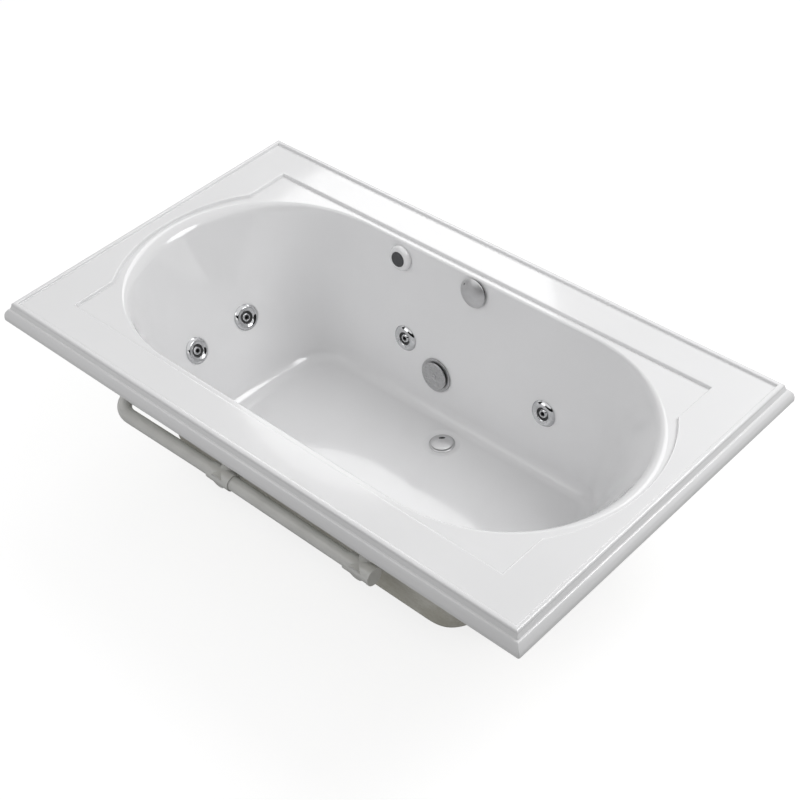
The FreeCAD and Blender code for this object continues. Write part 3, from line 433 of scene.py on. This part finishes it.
# the part's own solids keep their shape and get these finishes
finishOfPart = {
    "pvcWhite": ["air_intake", "control_body", "discharge_tee", "jet_bodies", "pipe_plugs", "pump_union",
                 "suction_pipe", "tube_clips", "wall_nuts", "water_pipes"],
    "clearPipe": ["air_pipes"],
    "cableJacket": ["air_tube", "drain_cable"],
    "plywood": ["base_board"],
    "timber": ["base_runners"],
    "capWhite": ["control_bezel"],
    "buttonGrey": ["control_button"],
    "chrome": ["drain_stopper"] + ["jet_nozzle_%d" % n for n in range(1, 7)]
              + ["jet_ring_%d" % n for n in range(1, 7)],
    "pvcBlack": ["drain_shoe", "overflow_body", "overflow_pipe", "overflow_plate", "waste_tee"],
    "steel": ["motor_bearings", "overflow_screws", "pump_bolts", "pump_shaft", "suction_screw"],
    "pumpBlack": ["motor_fan", "pump_backplate", "pump_volute", "terminal_box", "terminal_gland"],
    "motorPaint": ["motor_fan_cover", "motor_housing"],
    "laminations": ["motor_rotor", "motor_stator"],
    "satin": ["drain_flange", "overflow_cap", "suction_body", "suction_cover"],
    "zinc": ["pump_bracket"],
    "impeller": ["pump_impeller"],
    "rubber": ["pump_seal", "wall_gaskets"],
    "acrylic": ["tub_shell"],
}


def dressParts():
    for finish, names in finishOfPart.items():
        for name in names:
            part = nodes[name]
            if not part.material_slots:
                part.data.materials.append(finishes[finish])
            for slot in part.material_slots:
                slot.material = finishes[finish]


dressParts()
print("parts dressed")


# the moulded shell, rebuilt smooth from the same sizes as the solid; all in millimetres
tub = {
    "length": 1829.0, "width": 1067.0, "height": 572.0, "floorDepth": 512.0, "shell": 8.0,
    "deckDepth": 8.5, "underDepth": 20.5, "panelDepth": 17.5, "panelSink": 0.5, "skirtDepth": 56.0,
    "panelHalfLength": 755.0, "panelHalfWidth": 397.0, "endCentre": 407.0, "endRadius": 435.0,
    "sideLipStart": 387.0, "sideLipRadius": 9.0, "sideSlope": 0.152, "sideCove": 42.0,
    "endLipRadius": 52.0, "leftSlope": 0.51, "rightSlope": 0.57, "endCove": 72.0, "cornerPower": 1.6,
    "sideSteps": 44, "endSteps": 64, "cornerSteps": 4, "outerCorner": 5.0, "leastCorner": 0.6,
    "sharpFrom": 30,
}


def lipReach(depth, start, bend, top):
    drop = max(0.0, depth - top)
    return start - math.sqrt(max(0.0, bend ** 2 - (bend - drop) ** 2))


def reachAt(depth, start, lipRadius, slope, cove, grow):
    lean = math.atan(slope)
    bend = lipRadius - grow
    top = tub["panelDepth"] + grow
    lipEnd = top + bend * (1.0 - math.sin(lean))
    if depth < lipEnd:
        return lipReach(depth, start, bend, top)
    centre = tub["floorDepth"] - cove
    bowl = cove + grow
    coveStart = centre + bowl * math.sin(lean)
    wallTop = start - bend * math.cos(lean)
    if depth <= coveStart:
        return wallTop - slope * (depth - lipEnd)
    coveTop = wallTop - slope * (coveStart - lipEnd)
    drop = min(bowl, depth - centre)
    return coveTop - bowl * math.cos(lean) + math.sqrt(max(0.0, bowl ** 2 - drop ** 2))


def basinSizes(depth, grow=0.0):
    tip = tub["endCentre"] + tub["endRadius"]
    wide = reachAt(depth, tub["sideLipStart"], tub["sideLipRadius"], tub["sideSlope"], tub["sideCove"],
                   grow)
    left = reachAt(depth, tip, tub["endLipRadius"], tub["leftSlope"], tub["endCove"], grow)
    right = reachAt(depth, tip, tub["endLipRadius"], tub["rightSlope"], tub["endCove"], grow)
    share = max(0.0, min(1.0, (depth - tub["panelDepth"]) / (tub["floorDepth"] - tub["panelDepth"])))
    return wide, left, right, 2.0 + tub["cornerPower"] * share ** 2


def endPoint(turn, reach, wide, power):
    along = max(0.0, math.cos(turn))
    across = math.sin(turn)
    size = (along ** power + abs(across) ** power) ** (1.0 / power)
    return (reach - tub["endCentre"]) * along / size, wide * across / size


def sidePoints(wide):
    return [(tub["endCentre"] * n / tub["sideSteps"], wide) for n in range(tub["sideSteps"])]


def quarterTurns(steps):
    return [math.pi / 2 * (1.0 - n / steps) for n in range(steps + 1)]


def mirrorRing(quarter, depth, leftQuarter=None):
    # quarter runs from the middle of the far side to the right tip
    z = tub["height"] - depth
    left = leftQuarter or quarter
    ring = [(x, y, z) for x, y in quarter]
    ring += [(x, -y, z) for x, y in reversed(quarter[:-1])]
    ring += [(-x, -y, z) for x, y in left[1:]]
    ring += [(-x, y, z) for x, y in reversed(left[1:-1])]
    return ring


def basinRing(depth, grow=0.0):
    wide, left, right, power = basinSizes(depth, grow)
    quarters = []
    for reach in (right, left):
        quarter = sidePoints(wide)
        for turn in quarterTurns(tub["endSteps"]):
            along, across = endPoint(turn, reach, wide, power)
            quarter.append((tub["endCentre"] + along, across))
        quarters.append(quarter)
    return mirrorRing(quarters[0], depth, quarters[1])


def squareRing(inset, depth):
    long = tub["length"] / 2 - inset
    wide = tub["width"] / 2 - inset
    total = tub["sideSteps"] + tub["endSteps"]
    arc = tub["cornerSteps"]
    before = total - tub["endSteps"] // 2 - arc
    after = total - before - 2 * arc
    bend = max(tub["leastCorner"], tub["outerCorner"] - inset)
    quarter = [((long - bend) * n / before, wide) for n in range(before)]
    for turn in quarterTurns(2 * arc):
        quarter.append((long - bend + bend * math.cos(turn), wide - bend + bend * math.sin(turn)))
    quarter += [(long, (wide - bend) * (1.0 - n / after)) for n in range(1, after + 1)]
    return mirrorRing(quarter, depth)


def lipAngles():
    # directions of the lip's points round the end, so that the panel's points never cross them
    reach = tub["endCentre"] + tub["endRadius"]
    ends = [endPoint(turn, reach, tub["sideLipStart"], 2.0) for turn in quarterTurns(tub["endSteps"])]
    return [math.atan2(across, along) for along, across in ends]


def panelRing(grow, depth):
    # a rectangle joined with two discs, met by lines from the middle of each end
    long = tub["panelHalfLength"] - tub["endCentre"] + grow
    wide = tub["panelHalfWidth"] + grow
    disc = tub["endRadius"] + grow
    notch = math.sqrt(disc ** 2 - long ** 2)
    angles = lipAngles()
    fixed = {}
    for x, y in ((long, wide), (long, notch)):
        nearest = min(range(len(angles)), key=lambda n: abs(angles[n] - math.atan2(y, x)))
        fixed[nearest] = (x, y)
    quarter = sidePoints(wide)
    for n, angle in enumerate(angles):
        across = max(math.sin(angle), 1e-6)
        along = max(math.cos(angle), 1e-6)
        reach = max(disc, min(long / along, wide / across))
        x, y = fixed.get(n, (reach * math.cos(angle), min(wide, reach * math.sin(angle))))
        quarter.append((tub["endCentre"] + x, y))
    return mirrorRing(quarter, depth)


def shiftedRing(ring, target, distance):
    # each point moved towards its partner, by less than half of the way
    moved = []
    for start, end in zip(ring, target):
        way = Vector(end) - Vector(start)
        share = min(0.4, distance / max(way.length, 0.001))
        moved.append(tuple(Vector(start) + way * share))
    return moved


def arcThrough(first, middle, last, steps):
    # points of the circle arc through three points, without the first
    ax, ay = first
    bx, by = middle
    cx, cy = last
    d = 2 * (ax * (by - cy) + bx * (cy - ay) + cx * (ay - by))
    ux = ((ax ** 2 + ay ** 2) * (by - cy) + (bx ** 2 + by ** 2) * (cy - ay)
          + (cx ** 2 + cy ** 2) * (ay - by)) / d
    uy = ((ax ** 2 + ay ** 2) * (cx - bx) + (bx ** 2 + by ** 2) * (ax - cx)
          + (cx ** 2 + cy ** 2) * (bx - ax)) / d
    radius = math.hypot(ax - ux, ay - uy)
    angles = [math.atan2(y - uy, x - ux) for x, y in (first, middle, last)]
    sweep = (angles[2] - angles[0]) % (2 * math.pi)
    if (angles[1] - angles[0]) % (2 * math.pi) > sweep:
        sweep -= 2 * math.pi
    points = []
    for n in range(1, steps + 1):
        turn = angles[0] + sweep * n / steps
        points.append((ux + radius * math.cos(turn), uy + radius * math.sin(turn)))
    return points


def rimProfile():
    # inset and depth from the skirt's foot, over the ogee and the bead, to the deck
    points = [(0.0, 55.2), (0.0, 46.0)]
    points += arcThrough((0, 46), (4.2, 33.2), (12, 22), 12)
    points += [(13.0, 21.5), (16.0, 20.9), (16.5, 20.8)]
    points += arcThrough((16.5, 20.8), (18.6, 14), (21, 8), 10)
    points += arcThrough((21, 8), (22.5, 2.6), (27, 0.15), 12)
    points += [(28.0, 0.0), (30.5, 0.0)]
    points += arcThrough((30.5, 0.0), (33.4, 0.9), (34.8, 3.4), 8)
    points += arcThrough((34.8, 3.4), (36.0, 7.2), (38.9, 8.5), 6)
    points += [(40.0, 8.5), (46.0, 8.5)]
    return points


# rows of the shell's mesh: insets and depths in millimetres, turns in degrees, shares of a ring's reach
rowSettings = {
    "floorShares": (0.02, 0.1, 0.25, 0.45, 0.65, 0.82, 0.93, 0.985),
    "coveTurns": [90 - 1.4 * n for n in range(46)],
    "lipTurns": [62 - 1.4 * n for n in range(44)],
    "wallRows": 26, "wallTop": 46.5, "lipStop": 0.3, "lipFoot": 0.1, "edgeBand": 0.9,
    "stepFoot": ((0.5, 0.4), (0.9, 1.4), (1.3, 3.4)),
    "stepTop": ((1.8, 3.6), (2.5, 1.9), (3.5, 0.8), (4.8, 0.2), (6.2, 0), (7.4, 0)),
    "footInsets": (0.8, 7.2),
    "skirtBack": ((8, 55.2), (8, 46), (12, 38), (18, 28), (24, 24), (30, 20.5)),
    "deckBack": 48, "panelBack": ((14.0, 0), (11.0, 1.5), (10.0, 4.4)),
    "backGap": 0.4, "backLipTurns": range(0, 60, 6), "backWallEnd": 472.0,
    "backCoveTurns": range(26, 90, 4),
    "baseShares": (0.9, 0.6, 0.3, 0.05),
}


def basinDepths(look):
    # up the cove, the wall and the lip to the level part of the panel
    panel, cove, lip = tub["panelDepth"], tub["endCove"], tub["endLipRadius"]
    flat = panel + tub["panelSink"]
    centre = tub["floorDepth"] - cove
    depths = [centre + cove * math.sin(math.radians(turn)) for turn in look["coveTurns"]]
    wall, rows = depths[-1], look["wallRows"]
    depths += [wall - (wall - look["wallTop"]) * n / rows for n in range(1, rows + 1)]
    depths += [panel + lip * (1.0 - math.cos(math.radians(turn))) for turn in look["lipTurns"]]
    return [depth for depth in depths if depth > flat + look["lipStop"]] + [flat + look["lipFoot"], flat]


def backDepths(look):
    # the back of the same walls, from the panel down
    thick, cove, rows = tub["shell"], tub["endCove"], look["wallRows"]
    top = tub["panelDepth"] + thick + look["backGap"]
    bend = tub["endLipRadius"] - thick
    depths = [top + bend * (1.0 - math.cos(math.radians(turn))) for turn in look["backLipTurns"]]
    start = depths[-1]
    depths += [start + (look["backWallEnd"] - start) * n / rows for n in range(1, rows + 1)]
    centre = tub["floorDepth"] - cove
    depths += [centre + (cove + thick) * math.sin(math.radians(turn)) for turn in look["backCoveTurns"]]
    return depths + [tub["floorDepth"] + thick]


def scaledRings(ring, shares):
    return [[(x * share, y * share, z) for x, y, z in ring] for share in shares]


def shellRings(look):
    deck, flat = tub["deckDepth"], tub["panelDepth"] + tub["panelSink"]
    # top, from the middle of the floor outwards
    rings = scaledRings(basinRing(tub["floorDepth"]), look["floorShares"])
    rings += [basinRing(depth) for depth in basinDepths(look)]
    # narrow bands beside both edges keep the level part between them level
    lipEdge, panelEdge, band = rings[-1], panelRing(0.0, flat), look["edgeBand"]
    rings += [shiftedRing(lipEdge, panelEdge, band), shiftedRing(panelEdge, lipEdge, band), panelEdge]
    # the step up to the deck, with a well rounded upper edge
    rings += [panelRing(out, flat - rise) for out, rise in look["stepFoot"]]
    rings += [panelRing(out, deck + drop) for out, drop in look["stepTop"]]
    rings += [squareRing(inset, depth) for inset, depth in reversed(rimProfile())]
    # underside, from the skirt's foot inwards
    foot = len(rings)
    rings += [squareRing(inset, tub["skirtDepth"]) for inset in look["footInsets"]]
    rings += [squareRing(inset, depth) for inset, depth in look["skirtBack"]]
    under = tub["underDepth"]
    rings.append(squareRing(look["deckBack"], under))
    rings += [panelRing(out, under + drop) for out, drop in look["panelBack"]]
    rings += [basinRing(depth, tub["shell"]) for depth in backDepths(look)]
    rings += scaledRings(rings[-1], look["baseShares"])
    return rings, foot


def smoothPiece(piece, sharpFrom):
    for face in piece.data.polygons:
        face.use_smooth = True
    piece.data.set_sharp_from_angle(angle=math.radians(sharpFrom))


def buildShell(rings):
    count = len(rings[0])
    points = [(x * mm, y * mm, z * mm) for ring in rings for x, y, z in ring]
    faces = [tuple(reversed(range(count)))]
    for row in range(len(rings) - 1):
        low, high = row * count, (row + 1) * count
        for n in range(count):
            after = (n + 1) % count
            faces.append((low + n, low + after, high + after, high + n))
    last = (len(rings) - 1) * count
    faces.append(tuple(range(last, last + count)))
    return meshPiece("tubShell", points, faces)


# places of the fittings, worked out on the same walls
wallSpots = {
    "jetAlong": (-224.0, 287.0), "jetDepth": 323.0, "endJetAcross": 99.0, "endJetDepth": 316.0,
    "suction": (-98.0, 389.0), "overflow": (13.0, 62.0), "control": (-257.5, 69.5),
    "drain": (13.0, 214.0),
}


def seatMatrix(point, inward):
    level = Vector((0, 0, 1)).cross(inward).normalized()
    up = inward.cross(level)
    turn = Matrix((level, up, inward)).transposed().to_4x4()
    return Matrix.Translation(Vector(point) * mm) @ turn


def wallSeat(side, along, depth):
    wide = basinSizes(depth)[0]
    lean = math.atan(tub["sideSlope"])
    return seatMatrix((along, side * wide, tub["height"] - depth),
                      Vector((0, -side * math.cos(lean), math.sin(lean))))


def leftReach(across, depth):
    wide, left, right, power = basinSizes(depth)
    share = (1.0 - (abs(across) / wide) ** power) ** (1.0 / power)
    return tub["endCentre"] + (left - tub["endCentre"]) * share


def endSeat(across, depth):
    # the wall's slope over one millimetre each way
    half = 0.5
    byAcross = leftReach(across + half, depth) - leftReach(across - half, depth)
    byDepth = leftReach(across, depth + half) - leftReach(across, depth - half)
    inward = Vector((1.0, byAcross, -byDepth)).normalized()
    return seatMatrix((-leftReach(across, depth), across, tub["height"] - depth), inward)


leftAlong, rightAlong = wallSpots["jetAlong"]
jetSeats = [
    wallSeat(1, rightAlong, wallSpots["jetDepth"]),
    wallSeat(1, leftAlong, wallSpots["jetDepth"]),
    endSeat(wallSpots["endJetAcross"], wallSpots["endJetDepth"]),
    endSeat(-wallSpots["endJetAcross"], wallSpots["endJetDepth"]),
    wallSeat(-1, leftAlong, wallSpots["jetDepth"]),
    wallSeat(-1, rightAlong, wallSpots["jetDepth"]),
]
suctionSeat = wallSeat(1, *wallSpots["suction"])
overflowSeat = wallSeat(1, *wallSpots["overflow"])
controlSeat = wallSeat(1, *wallSpots["control"])
drainSeat = Matrix.Translation(Vector((*wallSpots["drain"], tub["height"] - tub["floorDepth"])) * mm)
fittingSeats = [("jet", seat) for seat in jetSeats]
fittingSeats += [("suction", suctionSeat), ("overflow", overflowSeat), ("control", controlSeat),
                 ("drain", drainSeat)]

# points round a turned tool, a dent, a small post and a fitting
roundSteps = {"tool": 96, "dent": 32, "post": 24, "fitting": 128}


def turnedMesh(name, profile, steps):
    # a closed outline of (radius, height) in millimetres, turned about z
    points, rows = [], []
    for radius, height in profile:
        if radius < 0.001:
            rows.append([len(points)])
            points.append((0.0, 0.0, height * mm))
            continue
        rows.append(list(range(len(points), len(points) + steps)))
        for n in range(steps):
            turn = 2 * math.pi * n / steps
            points.append((radius * math.cos(turn) * mm, radius * math.sin(turn) * mm, height * mm))
    faces = []
    for low, high in zip(rows, rows[1:] + rows[:1]):
        if len(low) == 1 and len(high) == 1:
            continue
        for n in range(steps):
            after = (n + 1) % steps
            if len(low) == 1:
                faces.append((low[0], high[after], high[n]))
            elif len(high) == 1:
                faces.append((low[n], low[after], high[0]))
            else:
                faces.append((low[n], low[after], high[after], high[n]))
    mesh = bpy.data.meshes.new(name)
    mesh.from_pydata(points, [], faces)
    mesh.validate()
    work = bmesh.new()
    work.from_mesh(mesh)
    bmesh.ops.recalc_face_normals(work, faces=work.faces)
    work.to_mesh(mesh)
    work.free()
    return mesh


def rodMesh(radius, low, high, steps=roundSteps["tool"]):
    return turnedMesh("rod", [(0, low), (radius, low), (radius, high), (0, high)], steps)


def joinTools(name, tools):
    work = bmesh.new()
    for mesh, seat in tools:
        mesh.transform(seat)
        work.from_mesh(mesh)
        bpy.data.meshes.remove(mesh)
    mesh = bpy.data.meshes.new(name)
    work.to_mesh(mesh)
    work.free()
    return linkPiece(name, mesh)


def shapeBy(piece, tool, operation, finish):
    # the faces made by the tool take this finish
    slots = piece.data.materials
    if slots.find(finish.name) < 0:
        slots.append(finish)
    for material in slots:
        tool.data.materials.append(material)
    place = slots.find(finish.name)
    for face in tool.data.polygons:
        face.material_index = place
    step = piece.modifiers.new("shape", "BOOLEAN")
    step.operation = operation
    step.solver = "MANIFOLD"
    step.object = tool
    graph = bpy.context.evaluated_depsgraph_get()
    shaped = bpy.data.meshes.new_from_object(piece.evaluated_get(graph))
    piece.modifiers.clear()
    old = piece.data
    piece.data = shaped
    bpy.data.meshes.remove(old)
    bpy.data.objects.remove(tool)


# rods at the fittings' seats: radius, lower and upper end in millimetres from the wall's face
rodSettings = {
    "pads": {"jet": (46, -12, -2), "suction": (52, -12, -2), "overflow": (42, -12, -2),
             "control": (34, -12, -2), "drain": (46, -12, -7)},
    "holes": {"jet": (25.3, -60, 20), "suction": (30.3, -60, 20), "overflow": (33.3, -60, 20),
              "control": (14.6, -60, 20), "drain": (22.3, -60, 10)},
    "endJetDip": (42, 0, 20),
}
dishOutline = [(0, -4), (38.2, -4), (39.6, -3.8), (53.0, -0.2), (54.8, 0.0), (56, 6), (0, 6)]


def seatRods(kind):
    sizes = rodSettings[kind]
    return joinTools(kind, [(rodMesh(*sizes[fitting]), seat) for fitting, seat in fittingSeats])


def finishShell():
    rings, foot = shellRings(rowSettings)
    shell = buildShell(rings)
    acrylic, fibreglass = finishes["acrylic"], finishes["fibreglass"]
    shell.data.materials.append(acrylic)
    shell.data.materials.append(fibreglass)
    # the back starts past the skirt's foot
    for face in shell.data.polygons:
        if face.index > (foot + 1) * len(rings[0]):
            face.material_index = 1
    shapeBy(shell, seatRods("pads"), "UNION", fibreglass)
    shapeBy(shell, seatRods("holes"), "DIFFERENCE", fibreglass)
    # level seats for the left end's two jets and a shallow dish round the drain
    dips = [(rodMesh(*rodSettings["endJetDip"]), seat) for seat in jetSeats[2:4]]
    dips.append((turnedMesh("dish", dishOutline, roundSteps["tool"]), drainSeat))
    shapeBy(shell, joinTools("dips", dips), "DIFFERENCE", acrylic)
    smoothPiece(shell, tub["sharpFrom"])
    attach(shell, "tub")
    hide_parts("tub_shell")
    print("shell moulded:", len(shell.data.polygons), "faces")


finishShell()


# outlines of the fittings are (radius, height) in millimetres from the wall's face; a curve runs
# through each point that carries a third value
def bentOutline(items, steps=10):
    points = [items[0][:2]]
    through = None
    for item in items[1:]:
        if len(item) == 3:
            through = item[:2]
        elif through:
            points += arcThrough(points[-1], through, item, steps)
            through = None
        else:
            points.append(item)
    return points


fittingSharpFrom = 32


def dentTool(dent):
    # an egg-shaped dent, sunk into a face at one place
    turns = [math.radians(angle) for angle in range(-75, 90, 15)]
    outline = [(0.0, -1.0)] + [(math.cos(turn), math.sin(turn)) for turn in turns] + [(0.0, 1.0)]
    mesh = turnedMesh("dent", outline, roundSteps["dent"])
    mesh.transform(Matrix.Diagonal((*dent["size"], 1)))
    place = Matrix.Translation(Vector(dent["at"]) * mm)
    return mesh, place @ Matrix.Rotation(math.radians(dent["turn"]), 4, "Z")


def turnedFitting(name, look):
    mesh = turnedMesh(name, bentOutline(look["outline"]), roundSteps["fitting"])
    mesh.materials.append(finishes[look["finish"]])
    return linkPiece(name, mesh)


def turnedPiece(name, look, seat, body, stands):
    piece = turnedFitting(name, look)
    if "dark" in look:
        # hollows and undercuts get painted shade, a near-black colour: inner and outer radius, top
        piece.data.materials.append(finishes["paintedShade"])
        inner, outer, top = look["dark"]
        for face in piece.data.polygons:
            spot = face.center / mm
            if inner < math.hypot(spot.x, spot.y) < outer and spot.z < top:
                face.material_index = 1
    if "dent" in look:
        # the dent's faces get painted shade
        shapeBy(piece, joinTools("dent", [dentTool(look["dent"])]), "DIFFERENCE", finishes["paintedShade"])
    smoothPiece(piece, fittingSharpFrom)
    piece.matrix_world = seat
    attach(piece, body)
    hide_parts(stands)


jetSettings = {
    "ring": {
        "outline": [(12, -26), (20.95, -26), (20.95, 4.3), (33.6, 4.3), (33.6, 0.6), (39.2, 0.6),
                    (39.8, 1.0), (39.8, 1.9), (39.3, 2.4), (36.1, 6.0, 0), (31.9, 9.0), (31.2, 9.35),
                    (30.2, 9.35), (26.0, 8.4, 0), (22.4, 6.9), (21.6, 7.0), (20.5, 6.4), (19.8, 5.6),
                    (19.4, 4.4), (19.4, 2.2), (18.9, 2.0), (14.9, 2.0), (14.6, 1.7), (14.6, 1.28),
                    (17.3, -8, 0), (12, -20.46)],
        # the ring's inner bore and ledge, inside 19.7 mm and below 4.2 mm, are painted shade
        "finish": "chrome", "dark": (0, 19.7, 4.2),
    },
    "ball": {
        "outline": [(8.8, -21), (10.6, -21), (11.0, -20.9), (17.0, -8, 0), (11.0, 4.9), (10.8, 5.05),
                    (9.6, 5.0), (9.2, 4.3, 0), (8.8, 4.9), (7.4, 5.0), (6.6, 4.6), (5.4, 3.4),
                    (5.4, -2.0)],
        # the nozzle's bore and face inside 7.6 mm, below 5.2 mm, are painted shade
        "finish": "chrome", "dark": (0, 7.6, 5.2),
    },
}
for number, seat in enumerate(jetSeats, 1):
    turnedPiece("jetRing%d" % number, jetSettings["ring"], seat, "jet_%d_trim" % number,
                "jet_ring_%d" % number)
    turnedPiece("jetBall%d" % number, jetSettings["ball"], seat, "jet_%d_aim" % number,
                "jet_nozzle_%d" % number)
print("jets turned")


coverSettings = {
    "outline": [(0, 9.5), (42.9, 9.5), (43.4, 9.9), (43.4, 11.8), (42.8, 13.1, 0), (41.4, 13.6),
                (9.4, 13.6), (9.0, 13.5), (7.4, 12.0), (7.0, 11.9), (0, 11.8)],
    "finish": "turnedSatin", "post": (3.0, 5.6, 10.0), "postReach": 36.0,
    "postTurns": (45, 135, 225, 315),
}


def buildCover(look):
    cover = turnedFitting("suctionCover", look)
    legs = []
    for angle in look["postTurns"]:
        turn = math.radians(angle)
        place = Vector((look["postReach"] * math.cos(turn), look["postReach"] * math.sin(turn), 0)) * mm
        legs.append((rodMesh(*look["post"], roundSteps["post"]), Matrix.Translation(place)))
    shapeBy(cover, joinTools("coverPosts", legs), "UNION", finishes[look["finish"]])
    smoothPiece(cover, fittingSharpFrom)
    cover.matrix_world = suctionSeat
    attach(cover, "tub")
    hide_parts("suction_cover")


buildCover(coverSettings)
screwSettings = {
    "outline": [(0, 4.0), (2.1, 4.0), (2.1, 11.8), (5.3, 11.8), (5.4, 12.2), (5.2, 13.1, 0), (3.2, 13.9),
                (0, 14.1)],
    # the screw's slot gets painted shade
    "finish": "steel", "dent": {"size": (5.5, 0.5, 0.9), "at": (0, 0, 14.2), "turn": 0},
}
turnedPiece("suctionScrew", screwSettings, suctionSeat, "tub", "suction_screw")
print("suction fitting turned")

capSettings = {
    "outline": [(0, 20.95), (24.0, 18.95, 0), (42.4, 9.9), (42.9, 9.2), (42.9, 7.9), (42.5, 7.5),
                (40.5, 7.5), (22.0, 15.5, 0), (6.0, 16.9), (6.0, -25.5), (5.5, -26.0), (0, -26.0)],
    # the dimple's faces get painted shade
    "finish": "brightSatin", "dent": {"size": (1.9, 4.0, 4.5), "at": (-27.0, 21.0, 16.5), "turn": 0},
}
turnedPiece("overflowCap", capSettings, overflowSeat, "overflow_knob", "overflow_cap")

stopperSettings = {
    "outline": [(0, 9.0), (20.0, 7.5, 0), (31.0, 3.2), (31.9, 2.7), (31.9, 2.3), (31.4, 1.9),
                (24.0, 0.6), (17.0, -2.0), (14.0, -2.0), (4.0, -2.0), (4.0, -32.0), (0, -32.0)],
    # the rim's underside, 16 to 31.6 mm out and below 2 mm, is painted shade: a painted shadow line
    # under the stopper
    "finish": "brightSatin", "dark": (16.0, 31.6, 2.0),
    # the finger dent's faces get painted shade
    "dent": {"size": (11.0, 5.0, 4.5), "at": (-7.0, 9.0, 10.6), "turn": 44.0},
}
turnedPiece("drainStopper", stopperSettings, drainSeat, "stopper", "drain_stopper")
print("overflow cap and stopper turned")

buttonSettings = {
    "outline": [(0, -8.0), (9.95, -8.0), (9.95, 12.6), (21.6, 12.6), (22.25, 13.3), (22.25, 17.6),
                (21.4, 19.1, 0), (19.0, 19.75), (16.0, 19.2), (0, 18.6)],
    "finish": "buttonGrey",
}
turnedPiece("controlButton", buttonSettings, controlSeat, "button", "control_button")

bossSettings = {
    "outline": [(14.7, 0.4), (37.4, 0.4), (37.9, 0.8), (37.9, 3.0), (36.0, 10.5, 0), (29.5, 15.4),
                (26.0, 16.5, 0), (23.0, 16.3), (22.5, 15.8), (22.5, 4.0), (14.7, 4.0)],
    "finish": "acrylic",
}
turnedPiece("controlBoss", bossSettings, controlSeat, "tub", "control_bezel")
print("control turned")
